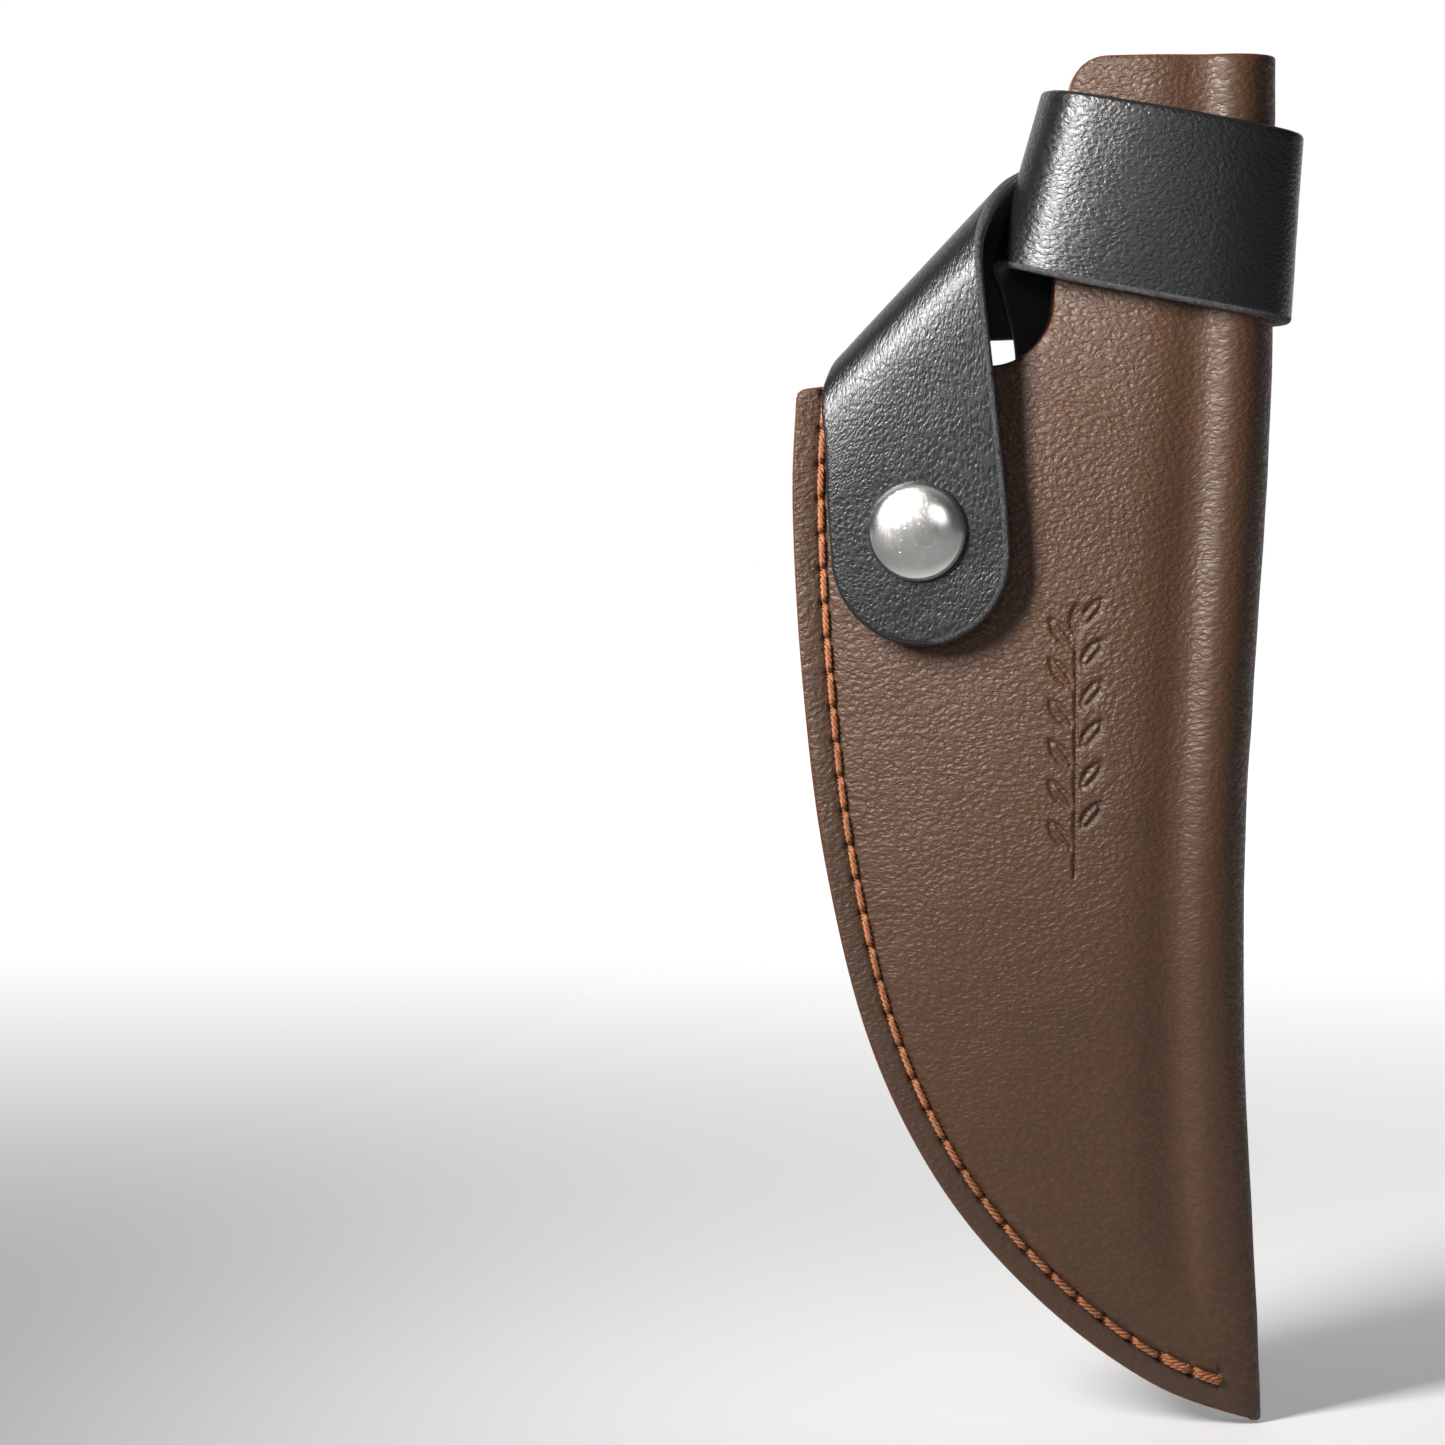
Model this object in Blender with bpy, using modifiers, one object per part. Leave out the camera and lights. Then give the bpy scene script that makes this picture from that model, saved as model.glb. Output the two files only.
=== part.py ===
"""Leather knife sheath with a wrap strap, press snap and belt loop.

A brown leather blank is folded along the spine, sewn along its curved edge over
a welt, and runs up into a tab that backs the knife's handle.  A black strap is
riveted under the belt loop, wraps once around the tab, folds over the mouth and
snaps onto the front.

Design frame, in millimetres: X across with the spine at 0 and the sewn edge at
negative X, Y through the sheath with the front at negative Y, Z up from the tip.
The frame empty moves all of it so that the middle of the belt channel is the origin.
"""

import math

import bmesh
import bpy
import numpy as np
from mathutils import Matrix, Vector

MM = 0.001
GAP = 0.3

# Leather
LEATHER = 2.0
WELT = 1.8
WELT_WIDTH = 7.0
SEAM_GAP = WELT + 2 * GAP
SEAM_STACK = 2 * LEATHER + SEAM_GAP

# Body
TOP = 216.4
TIP = 0.0
MOUTH_RIGHT = Vector((-44.6, 168.2))
TAB_LEFT = -34.4
TAB_LEAN = 2.6
TAB_CORNER = 5.5
NOTCH_RADIUS = 10.2
SPINE_BOW = 3.9
SPINE_BOW_HEIGHT = 82.0
SPINE_BOW_REACH = 96.0
BACK_FACE = 8.0
BULGE = 10.0
BULGE_FROM = 4.0
BULGE_TO = 110.0
FOLD_ASPECT = 1.5

# The sewn edge, from the mouth down to the tip (x, z)
BELLY = (
    (-74.6, 164.6),
    (-75.2, 146.0),
    (-73.6, 118.0),
    (-70.0, 89.5),
    (-62.9, 61.0),
    (-51.5, 38.0),
    (-36.0, 20.0),
    (-18.0, 6.6),
    (-0.4, 0.0),
)

# Seam
STITCH_INSET = 4.4
STITCH_PITCH = 5.5
STITCH_COUNT = 33
STITCH_START = 0.6
STITCH_HOLE = 0.8
THREAD = 0.5

# Snap, square to the crowned front panel
SNAP_X = -54.7
SNAP_Z = 142.5
STRAP_LIFT = 3.5
CAP_RADIUS = 7.8
SOCKET_RADIUS = 6.2
STUD_RADIUS = 3.1
CAP_DOME = 3.1
CAP_SHANK = 2.0
SOCKET_FOOT = 1.2
SPRING_RADIUS = 4.6
SPRING_WIRE = 0.28
SPRING_HEIGHT = 2.1
STUD_FLANGE = 5.0
POST_HOLE = 1.8
CAP_HOLE = 2.4

# Strap
STRAP_HALF_WIDTH = 14.2
STRAP_END_Z = 138.8
TAIL_SLANT = 0.075

# Belt loop
LOOP_X = -28.0
LOOP_HALF_WIDTH = 13.0
LOOP_LEATHER = 2.2
CHANNEL_DEPTH = 5.0
CHANNEL_LOW = 102.0
CHANNEL_HIGH = 146.0
RIVET_SPREAD = 7.0
RIVET_TOP_Z = 157.5
RIVET_LOW_Z = 90.0
RIVET_HOLE = 1.8
RIVET_CAP = 4.6
RIVET_SHANK = 1.35

ORIGIN = Vector((LOOP_X, BACK_FACE + GAP + CHANNEL_DEPTH / 2, (CHANNEL_LOW + CHANNEL_HIGH) / 2))

COLOURS = {
    "brown_leather": ((0.16, 0.10, 0.065, 1.0), 0.5, 0.0),
    "black_leather": ((0.02, 0.02, 0.021, 1.0), 0.42, 0.0),
    "welt_leather": ((0.28, 0.16, 0.09, 1.0), 0.8, 0.0),
    "orange_thread": ((0.55, 0.2, 0.06, 1.0), 0.7, 0.0),
    "nickel": ((0.72, 0.72, 0.73, 1.0), 0.22, 1.0),
    "spring_steel": ((0.55, 0.56, 0.58, 1.0), 0.3, 1.0),
}


# ---------------------------------------------------------------- curves


def smooth_through(points, steps):
    """A Catmull-Rom curve through the points, with the given steps in each span."""
    points = np.asarray(points, float)
    padded = np.vstack([2 * points[0] - points[1], points, 2 * points[-1] - points[-2]])
    t = np.linspace(0, 1, steps, endpoint=False)[:, None]
    spans = []
    for i in range(len(points) - 1):
        a, b, c, d = padded[i : i + 4]
        square, cube = 2 * a - 5 * b + 4 * c - d, 3 * b - a - 3 * c + d
        spans.append(0.5 * (2 * b + (c - a) * t + square * t**2 + cube * t**3))
    return np.vstack([*spans, points[-1:]])


def smoothstep(value, low, high):
    t = np.clip((value - low) / (high - low), 0, 1)
    return t * t * (3 - 2 * t)


def offset_inwards(curve, distance):
    """The belly curve moved towards the spine."""
    along = np.gradient(curve, axis=0)
    along /= np.linalg.norm(along, axis=1)[:, None]
    return curve + distance * np.column_stack([-along[:, 1], along[:, 0]])


def along_curve(curve, lengths):
    """Points at the given lengths along a curve."""
    steps = np.linalg.norm(np.diff(curve, axis=0), axis=1)
    run = np.concatenate([[0], np.cumsum(steps)])
    return np.column_stack([np.interp(lengths, run, curve[:, k]) for k in range(curve.shape[1])])


def arc(centre, radius, start, end, steps):
    """Points on an arc in the XZ plane, with angles in degrees."""
    angles = np.radians(np.linspace(start, end, steps))
    return [(centre[0] + radius * math.cos(a), centre[1] + radius * math.sin(a)) for a in angles]


BELLY_CURVE = smooth_through(BELLY, 6)
ABOVE_MOUTH = ((TAB_LEFT - 9, TOP + 20), (TAB_LEFT - 10, 190), (BELLY[0][0], 170))
STITCH_LINE = along_curve(
    offset_inwards(smooth_through(BELLY, 24), STITCH_INSET),
    STITCH_START + STITCH_PITCH * np.arange(STITCH_COUNT + 1),
)


# ---------------------------------------------------------------- body shape


def spine_x(z):
    """The folded edge, bowed a little towards the sewn edge."""
    reach = np.clip((z - SPINE_BOW_HEIGHT) / SPINE_BOW_REACH, -1, 1)
    return -SPINE_BOW * np.cos(reach * math.pi / 2) ** 2


def belly_x(z):
    return np.interp(z, BELLY_CURVE[::-1, 1], BELLY_CURVE[::-1, 0])


def belly_distance(x, z):
    """Distance from a point to the sewn edge, or to its line carried on up beside the tab."""
    line = np.vstack([ABOVE_MOUTH, BELLY_CURVE])
    start, step = line[:-1], np.diff(line, axis=0)
    to = np.array([x, z]) - start
    share = np.clip((to * step).sum(1) / (step * step).sum(1), 0, 1)
    return np.linalg.norm(to - share[:, None] * step, axis=1).min()


def bulge(z):
    return BULGE * smoothstep(z, BULGE_FROM, BULGE_TO)


def fold_half_depth(z):
    return (SEAM_STACK + bulge(z)) / 2


def fold_start(z):
    """Where the flat back and the crowned front turn into the spine's round."""
    return spine_x(z) - fold_half_depth(z) * (1 + (FOLD_ASPECT - 1) * smoothstep(z, TIP, BULGE_TO / 2))


def front_face(x, z):
    """Y of the front panel's outer face between the sewn edge and the fold."""
    inside = max(belly_distance(x, z) - WELT_WIDTH, 0)
    to_fold = max(fold_start(z) - x, 0)
    share = inside / max(inside + to_fold, 1e-6)
    return BACK_FACE - SEAM_STACK - bulge(z) * (1 - (1 - share) ** 2)


def body_point(column, z, columns):
    """A point on the middle of the leather, from the back's sewn edge round the fold to the front's."""
    back_columns, fold_columns, front_columns = columns
    left = min(belly_x(z) - 4, fold_start(z) - 3)
    start = fold_start(z)
    half = LEATHER / 2
    if column <= back_columns:
        return left + (start - left) * column / back_columns, BACK_FACE - half, z
    if column < back_columns + fold_columns:
        turn = math.pi * (column - back_columns) / fold_columns
        across = spine_x(z) - start - half
        deep = fold_half_depth(z)
        return start + across * math.sin(turn), BACK_FACE - deep + (deep - half) * math.cos(turn), z
    share = (column - back_columns - fold_columns) / front_columns
    x = start + (left - start) * share
    return x, front_face(x, z) + half, z


# ---------------------------------------------------------------- Blender helpers


def new_collection(name, hidden=False):
    collection = bpy.data.collections.new(name)
    bpy.context.scene.collection.children.link(collection)
    collection.hide_render = hidden
    return collection


def material(name):
    made = bpy.data.materials.get(name)
    if made:
        return made
    made = bpy.data.materials.new(name)
    made.use_nodes = True
    colour, roughness, metallic = COLOURS[name]
    shader = made.node_tree.nodes["Principled BSDF"]
    shader.inputs["Base Color"].default_value = colour
    shader.inputs["Roughness"].default_value = roughness
    shader.inputs["Metallic"].default_value = metallic
    return made


def place(obj, collection, parent=None, slot=None):
    """Links an object, hangs it from the frame empty and gives it its material."""
    for old in list(obj.users_collection):
        old.objects.unlink(obj)
    collection.objects.link(obj)
    obj.parent = parent or FRAME
    if slot:
        obj.data.materials.append(material(slot))
    if collection is CUTTERS:
        obj.hide_render = True
        obj.display_type = "WIRE"
    return obj


def mesh_object(name, bm):
    mesh = bpy.data.meshes.new(name)
    bm.to_mesh(mesh)
    bm.free()
    return bpy.data.objects.new(name, mesh)


def mapped_grid(name, columns, rows, position):
    """A grid whose point in column i and row j goes to position(i, j), in millimetres."""
    bm = bmesh.new()
    bmesh.ops.create_grid(bm, x_segments=columns, y_segments=rows, size=1)
    for vertex in bm.verts:
        i = round((vertex.co.x + 1) / 2 * columns)
        j = round((vertex.co.y + 1) / 2 * rows)
        vertex.co = Vector(position(i, j)) * MM
    return mesh_object(name, bm)


def thicken(obj, thickness):
    modifier = obj.modifiers.new("leather", "SOLIDIFY")
    modifier.thickness = thickness * MM
    modifier.offset = 0
    modifier.use_even_offset = True


def cut(obj, cutter, operation="DIFFERENCE"):
    modifier = obj.modifiers.new(cutter.name, "BOOLEAN")
    modifier.operation = operation
    modifier.object = cutter


def from_curve(curve_object):
    """The curve object's closed mesh, with its caps joined on."""
    bpy.context.scene.collection.objects.link(curve_object)
    bpy.context.view_layer.update()
    graph = bpy.context.evaluated_depsgraph_get()
    mesh = bpy.data.meshes.new_from_object(curve_object.evaluated_get(graph))
    mesh.transform(curve_object.matrix_world)
    name = curve_object.name
    bpy.data.objects.remove(curve_object)
    bm = bmesh.new()
    bm.from_mesh(mesh)
    bmesh.ops.remove_doubles(bm, verts=bm.verts, dist=0.001 * MM)
    bmesh.ops.recalc_face_normals(bm, faces=bm.faces)
    bm.to_mesh(mesh)
    bm.free()
    return bpy.data.objects.new(name, mesh)


def new_curve(name, points, closed, dimensions):
    data = bpy.data.curves.new(name, "CURVE")
    data.dimensions = dimensions
    spline = data.splines.new("POLY")
    spline.points.add(len(points) - 1)
    for slot, point in zip(spline.points, points):
        slot.co = (*(c * MM for c in point), 1) if len(point) == 3 else (point[0] * MM, point[1] * MM, 0, 1)
    spline.use_cyclic_u = closed
    return data


def plate(name, outline, low, high):
    """A flat piece with an outline in XZ, from Y low to Y high."""
    data = new_curve(name, outline, True, "2D")
    data.fill_mode = "BOTH"
    data.extrude = (high - low) / 2 * MM
    obj = bpy.data.objects.new(name, data)
    middle = Matrix.Translation((0, (low + high) / 2 * MM, 0))
    obj.matrix_world = middle @ Matrix.Rotation(math.pi / 2, 4, "X")
    return from_curve(obj)


def turned(name, profile, steps):
    """A profile of (radius, height) points, from the top of the axis to its foot, turned about Z."""
    bm = bmesh.new()
    points = [bm.verts.new((r * MM, 0, h * MM)) for r, h in profile]
    for a, b in zip(points, points[1:]):
        bm.edges.new((a, b))
    obj = mesh_object(name, bm)
    modifier = obj.modifiers.new("turn", "SCREW")
    modifier.steps = steps
    modifier.render_steps = steps
    modifier.use_merge_vertices = True
    modifier.merge_threshold = 0.001 * MM
    modifier.use_normal_calculate = True
    modifier.use_normal_flip = True
    return obj


def pegs(name, places, radius, low, high, sides):
    """Straight pegs along Y at the (x, z) places, as one cutter or one set of legs."""
    bm = bmesh.new()
    turn = Matrix.Rotation(math.pi / 2, 4, "X")
    for x, z in places:
        at = Matrix.Translation(Vector((x, (low + high) / 2, z)) * MM)
        bmesh.ops.create_cone(
            bm,
            cap_ends=True,
            segments=sides,
            radius1=radius * MM,
            radius2=radius * MM,
            depth=(high - low) * MM,
            matrix=at @ turn,
        )
    return mesh_object(name, bm)


def stand_on(obj, point, axis):
    """Puts a turned piece's foot at a point with its Z along an axis."""
    obj.location = point * MM
    obj.rotation_euler = axis.to_track_quat("Z", "X").to_euler()


# ---------------------------------------------------------------- sheath body and seam


def body_outline():
    """The cut outline of the folded blank, with the fold side left wide."""
    tab_foot = (TAB_LEFT, MOUTH_RIGHT.y + NOTCH_RADIUS)
    corner = (TAB_LEFT + TAB_LEAN + TAB_CORNER, TOP - TAB_CORNER)
    notch = arc((MOUTH_RIGHT.x, tab_foot[1]), NOTCH_RADIUS, -90, 0, 7)
    return [
        (20, TIP - 0.02),
        (20, TOP),
        *arc(corner, TAB_CORNER, 90, 180, 7),
        *reversed(notch),
        *BELLY_CURVE[:-1],
        (-1.0, TIP - 0.02),
    ]


def build_body():
    columns = (6, 7, 12)
    rows = 24

    def position(i, j):
        z = TIP - 3 + (TOP - TIP + 6) * (j / rows) ** 1.2
        return body_point(i, z, columns)

    body = mapped_grid("sheath_body", sum(columns), rows, position)
    thicken(body, LEATHER)
    cut(body, place(plate("body_outline", body_outline(), -30, 30), CUTTERS), "INTERSECT")
    return place(body, PARTS, slot="brown_leather")


def build_welt():
    outer = along_curve(offset_inwards(BELLY_CURVE, 0.15), np.linspace(0.5, 196, 40))
    inner = offset_inwards(outer, WELT_WIDTH - 0.8)
    keep = [p for p in inner if p[0] < spine_x(p[1]) - 5]
    outer = [p for p in outer if p[0] < spine_x(p[1]) - 5]
    middle = BACK_FACE - SEAM_STACK / 2
    welt = plate("welt", [*outer, *reversed(keep)], middle - WELT / 2, middle + WELT / 2)
    return place(welt, PARTS, slot="welt_leather")


def build_thread(name, surface, outwards):
    """One thread of the lock stitch: it lies on its face and goes down each hole to the middle."""
    middle = BACK_FACE - SEAM_STACK / 2
    lie = surface + outwards * (GAP + THREAD)
    data = new_curve(name, [(x, lie, z) for x, z in STITCH_LINE], False, "3D")
    data.bevel_depth = THREAD * MM
    data.bevel_resolution = 1
    data.use_fill_caps = True
    thread = from_curve(bpy.data.objects.new(name, data))
    ends = sorted((lie, middle + outwards * 0.2))
    legs = place(pegs(name + "_legs", STITCH_LINE, THREAD * 0.8, *ends, 6), CUTTERS)
    cut(thread, legs, "UNION")
    return place(thread, PARTS, slot="orange_thread")


def build_seam(body, welt):
    front = BACK_FACE - SEAM_STACK
    holes = place(pegs("stitch_holes", STITCH_LINE, STITCH_HOLE, front - 2, BACK_FACE + 2, 6), CUTTERS)
    cut(body, holes)
    cut(welt, holes)
    build_thread("front_thread", front, -1)
    build_thread("back_thread", BACK_FACE, 1)


# ---------------------------------------------------------------- strap


def front_normal(x, z, reach=5.0):
    """The front panel's outward direction, from its slopes over a short reach."""
    across = front_face(x + reach, z) - front_face(x - reach, z)
    upwards = front_face(x, z + reach) - front_face(x, z - reach)
    return Vector((across, -2 * reach, upwards)).normalized()


SNAP_AXIS = front_normal(SNAP_X, SNAP_Z)
SNAP_SEAT = Vector((SNAP_X, float(front_face(SNAP_X, SNAP_Z)), SNAP_Z))
STRAP_AT_SNAP = SNAP_SEAT + SNAP_AXIS * (STRAP_LIFT + LEATHER / 2)
TAIL_RIGHT = SNAP_AXIS.cross(Vector((TAIL_SLANT, 0, -1))).normalized()
TAIL_DOWN = TAIL_RIGHT.cross(SNAP_AXIS)
TAIL_END = STRAP_AT_SNAP + TAIL_DOWN * (SNAP_Z - STRAP_END_Z)

# The strap's two edges where it wraps the tab, as (upper or right edge, lower or left edge) of
# the leather's middle.  It climbs the back from its rivets, turns round the tab's open side,
# crosses the front, turns round the spine and crosses the back again.
WRAP_EDGES = (
    ((-16.5, 9.3, 150.0), (-39.5, 9.3, 150.0)),
    ((-16.5, 9.3, 164.0), (-39.5, 9.3, 162.0)),
    ((-17.0, 9.3, 180.0), (-40.0, 9.3, 171.5)),
    ((-22.5, 9.5, 198.5), (-41.5, 9.2, 178.0)),
    ((-30.5, 9.8, 208.5), (-42.6, 7.6, 181.8)),
    ((-34.6, 7.4, 211.0), (-43.0, 3.6, 183.4)),
    ((-34.6, 0.8, 211.2), (-42.2, -0.8, 183.6)),
    ((-32.1, -4.9, 210.8), (-38.6, -5.0, 182.8)),
    ((-25.5, -7.9, 209.6), (-31.0, -7.9, 181.0)),
    ((-16.0, -9.8, 207.9), (-19.5, -9.6, 178.8)),
    ((-5.0, -9.6, 205.9), (-7.6, -9.6, 176.6)),
    ((1.9, -6.4, 204.6), (-0.3, -6.0, 175.2)),
    ((3.4, 0.5, 204.2), (1.8, 0.5, 174.7)),
    ((0.2, 9.4, 204.0), (-1.0, 9.4, 174.4)),
    ((-9.0, 12.2, 202.9), (-14.0, 12.2, 173.5)),
)

# The fold over the mouth: a slanting crest line, and for each edge its end on that line,
# the fold's radius and how far the edge runs along the crest in each half of the turn
CREST_UPPER = (-42.2, 195.9)
CREST_LOWER = (-67.7, 168.6)
FOLD_RADII = (9.4, 7.0)
FOLD_RUNS = (15.0, 11.2)
FOLD_BACK = 12.3
FOLD_SQUARENESS = 0.75
FOLD_TURNS = (0, 35, 65, 90, 115, 145, 180)
TAIL_RISES = (10.0, 0.0)
HINGE_STATION = len(WRAP_EDGES) + FOLD_TURNS.index(90)
STATION_STEPS = 2
SPLIT_GAP = 0.08


def tail_plane_y(x, z):
    """Y of the flat tail's middle at a point on it."""
    to = Vector((x - STRAP_AT_SNAP.x, 0, z - STRAP_AT_SNAP.z))
    return STRAP_AT_SNAP.y - to.dot(SNAP_AXIS) / SNAP_AXIS.y


def fold_edge(crest, radius, run, turn):
    """A point on one edge of the fold, turned from the back (0) over the crest (90) to the front (180)."""
    along = (Vector(CREST_UPPER) - Vector(CREST_LOWER)).normalized()
    outwards = Vector((-along.y, along.x))
    centre = Vector(crest) - outwards * radius
    front = centre - along * run
    front_y = tail_plane_y(front.x, front.y)
    angle = math.radians(turn)
    rise = math.sin(angle) ** FOLD_SQUARENESS
    swing = math.copysign(abs(math.cos(angle)) ** FOLD_SQUARENESS, 90 - turn)
    flat = centre + along * run * (1 - turn / 90) + outwards * radius * rise
    return flat.x, (FOLD_BACK + front_y) / 2 + (FOLD_BACK - front_y) / 2 * swing, flat.y


def strap_edges():
    """The upper and lower edge at each bend, ending where the round end begins."""
    stations = [(*upper, *lower) for upper, lower in WRAP_EDGES]
    for turn in FOLD_TURNS:
        upper, lower = (
            fold_edge(crest, radius, run, turn)
            for crest, radius, run in zip((CREST_UPPER, CREST_LOWER), FOLD_RADII, FOLD_RUNS)
        )
        stations.append((*upper, *lower))
    reach = TAIL_RIGHT * STRAP_HALF_WIDTH
    for rise in TAIL_RISES:
        middle = TAIL_END - TAIL_DOWN * rise
        stations.append((*(middle + reach), *(middle - reach)))
    return stations


def ribbon_point(station, share):
    """A point on the strap, across it from its lower edge (0) to its upper edge (1)."""
    return station[3:] + (station[:3] - station[3:]) * share


def end_point(along, across):
    """A point of the strap's half-round end: along from 0 to 1, across from -1 to 1."""
    down = along * math.sqrt(1 - across**2 / 2)
    right = across * math.sqrt(1 - along**2 / 2)
    return TAIL_END + (TAIL_DOWN * down + TAIL_RIGHT * right) * STRAP_HALF_WIDTH


def build_strap():
    """The strap as its fixed wrap and its swinging tail, parted along one line of the fold."""
    across = 4
    end_rows = 4
    stations = smooth_through(strap_edges(), STATION_STEPS)
    split = HINGE_STATION * STATION_STEPS
    here, after, before = stations[split], stations[split + 1], stations[split - 1]
    wrap = np.vstack([stations[:split], here + (before - here) * SPLIT_GAP])
    swing = np.vstack([here + (after - here) * SPLIT_GAP, stations[split + 1 :]])

    def on_wrap(i, j):
        return ribbon_point(wrap[j], i / across)

    def on_tail(i, j):
        if j < len(swing):
            return ribbon_point(swing[j], i / across)
        return end_point((j - len(swing) + 1) / end_rows, i / across * 2 - 1)

    band = mapped_grid("strap_band", across, len(wrap) - 1, on_wrap)
    tail = mapped_grid("strap_tail", across, len(swing) - 1 + end_rows, on_tail)
    for piece in (band, tail):
        thicken(piece, LEATHER)
    point, direction = hinge_line(Vector(here[3:]), Vector(here[:3]), Vector(after[3:]))
    return band, tail, point, direction


def hinge_line(lower, upper, after):
    """The line on the strap's outer face about which its tail swings: a point and a direction."""
    along = (lower - upper).normalized()
    outwards = along.cross(after - lower).normalized()
    return (lower + upper) / 2 + outwards * (LEATHER / 2), along


# ---------------------------------------------------------------- snap


def cap_profile():
    """The cap's dome over the strap, with its shank down through the leather, as (radius, height)."""
    low, top = STRAP_LIFT, STRAP_LIFT + LEATHER
    return [
        (0, top + CAP_DOME),
        (3.2, top + CAP_DOME - 0.15),
        (5.6, top + CAP_DOME - 0.8),
        (7.2, top + CAP_DOME - 1.8),
        (CAP_RADIUS, top + CAP_DOME - 2.4),
        (CAP_RADIUS, top + GAP),
        (CAP_SHANK, top + GAP),
        (CAP_SHANK, low - 0.4),
        (0, low - 0.4),
    ]


def socket_profile():
    """The socket under the strap, open below with a recess for its ring spring."""
    low = STRAP_LIFT
    return [
        (0, low - 0.7),
        (2.3, low - 0.7),
        (2.3, low - GAP),
        (5.0, low - GAP),
        (SOCKET_RADIUS, low - 0.8),
        (SOCKET_RADIUS, SOCKET_FOOT),
        (SPRING_RADIUS, SOCKET_FOOT),
        (SPRING_RADIUS, SOCKET_FOOT + 0.4),
        (5.3, SOCKET_FOOT + 0.6),
        (5.3, SOCKET_FOOT + 1.25),
        (4.2, SOCKET_FOOT + 1.45),
        (0, SOCKET_FOOT + 1.45),
    ]


def stud_profile():
    """The stud on the front panel: a round head over a waist and a flange, hollow below for its post."""
    return [
        (0, 2.35),
        (2.4, 2.3),
        (STUD_RADIUS, 1.9),
        (STUD_RADIUS, 1.5),
        (2.5, 1.2),
        (2.6, 0.9),
        (STUD_FLANGE, 0.75),
        (STUD_FLANGE, GAP),
        (1.7, GAP),
        (1.7, 1.4),
        (0, 1.4),
    ]


def post_profile():
    """The stud's post, with its flat head inside the pocket."""
    inside = -LEATHER - GAP
    return [(0, 1.1), (1.3, 1.1), (1.3, inside), (4.8, inside), (4.6, inside - 0.6), (0, inside - 0.7)]


def build_spring():
    bpy.ops.mesh.primitive_torus_add(
        major_radius=SPRING_RADIUS * MM, minor_radius=SPRING_WIRE * MM, major_segments=20, minor_segments=6
    )
    spring = bpy.context.active_object
    spring.name = "snap_spring"
    for collection in list(spring.users_collection):
        collection.objects.unlink(spring)
    return spring


def snap_hole(name, owner, seat, radius):
    hole = place(pegs(name, [(0, 0)], radius, -3.4, 3.4, 12), CUTTERS)
    hole.location = seat * MM
    hole.rotation_euler = (-SNAP_AXIS).to_track_quat("Y", "Z").to_euler()
    cut(owner, hole)


def build_snap(tail_frame, body, tail):
    """Cap and socket on the strap with the socket's spring, stud and post on the front panel."""
    cap = turned("snap_cap", cap_profile(), 24)
    socket = turned("snap_socket", socket_profile(), 24)
    spring = build_spring()
    stud = turned("snap_stud", stud_profile(), 24)
    post = turned("snap_post", post_profile(), 20)
    moving = (cap, socket, spring)
    for piece in (*moving, stud, post):
        parent = tail_frame if piece in moving else None
        place(piece, PARTS, parent, "spring_steel" if piece is spring else "nickel")
        stand_on(piece, SNAP_SEAT, SNAP_AXIS)
        if parent:
            piece.location -= parent.location
    spring.location += SNAP_AXIS * SPRING_HEIGHT * MM
    snap_hole("post_hole", body, SNAP_SEAT, POST_HOLE)
    snap_hole("cap_hole", tail, STRAP_AT_SNAP, CAP_HOLE)


# ---------------------------------------------------------------- belt loop and rivets


def loop_profile():
    """(y, z) of the middle of the belt loop's leather, from its top end to its foot."""
    half = LOOP_LEATHER / 2
    on_strap = BACK_FACE + GAP + LEATHER + GAP + half
    on_back = BACK_FACE + GAP + half
    bridge = BACK_FACE + GAP + CHANNEL_DEPTH + half
    return [
        (on_strap, RIVET_TOP_Z + 7.5),
        (on_strap, RIVET_TOP_Z),
        (on_strap, CHANNEL_HIGH + 5.5),
        (on_strap + 0.5, CHANNEL_HIGH + 3.2),
        (bridge - 0.6, CHANNEL_HIGH),
        (bridge, CHANNEL_HIGH - 3),
        (bridge, (CHANNEL_HIGH + CHANNEL_LOW) / 2),
        (bridge, CHANNEL_LOW + 3),
        (bridge - 0.7, CHANNEL_LOW + 0.2),
        (on_back + 2.4, CHANNEL_LOW - 2.4),
        (on_back + 0.4, CHANNEL_LOW - 4.4),
        (on_back, CHANNEL_LOW - 6.5),
        (on_back, RIVET_LOW_Z),
        (on_back, RIVET_LOW_Z - 7.5),
    ]


def build_belt_loop():
    profile = loop_profile()
    across = 2

    def position(i, j):
        y, z = profile[j]
        return LOOP_X + LOOP_HALF_WIDTH * (i / across * 2 - 1), y, z

    loop = mapped_grid("belt_loop", across, len(profile) - 1, position)
    thicken(loop, LOOP_LEATHER)
    return place(loop, PARTS, slot="brown_leather")


def rivet_cap_profile():
    """A domed rivet cap, hollow below where it takes the shank, as (radius, height)."""
    return [
        (0, 1.9),
        (2.2, 1.75),
        (3.9, 1.2),
        (RIVET_CAP, 0.7),
        (RIVET_CAP, GAP),
        (1.75, GAP),
        (1.75, 1.0),
        (0, 1.0),
    ]


def rivet_post_profile(reach):
    """A rivet's shank up to the given reach, with its flat head below."""
    return [(0, reach), (RIVET_SHANK, reach), (RIVET_SHANK, -GAP), (3.9, -GAP), (3.7, -0.8), (0, -0.85)]


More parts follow.
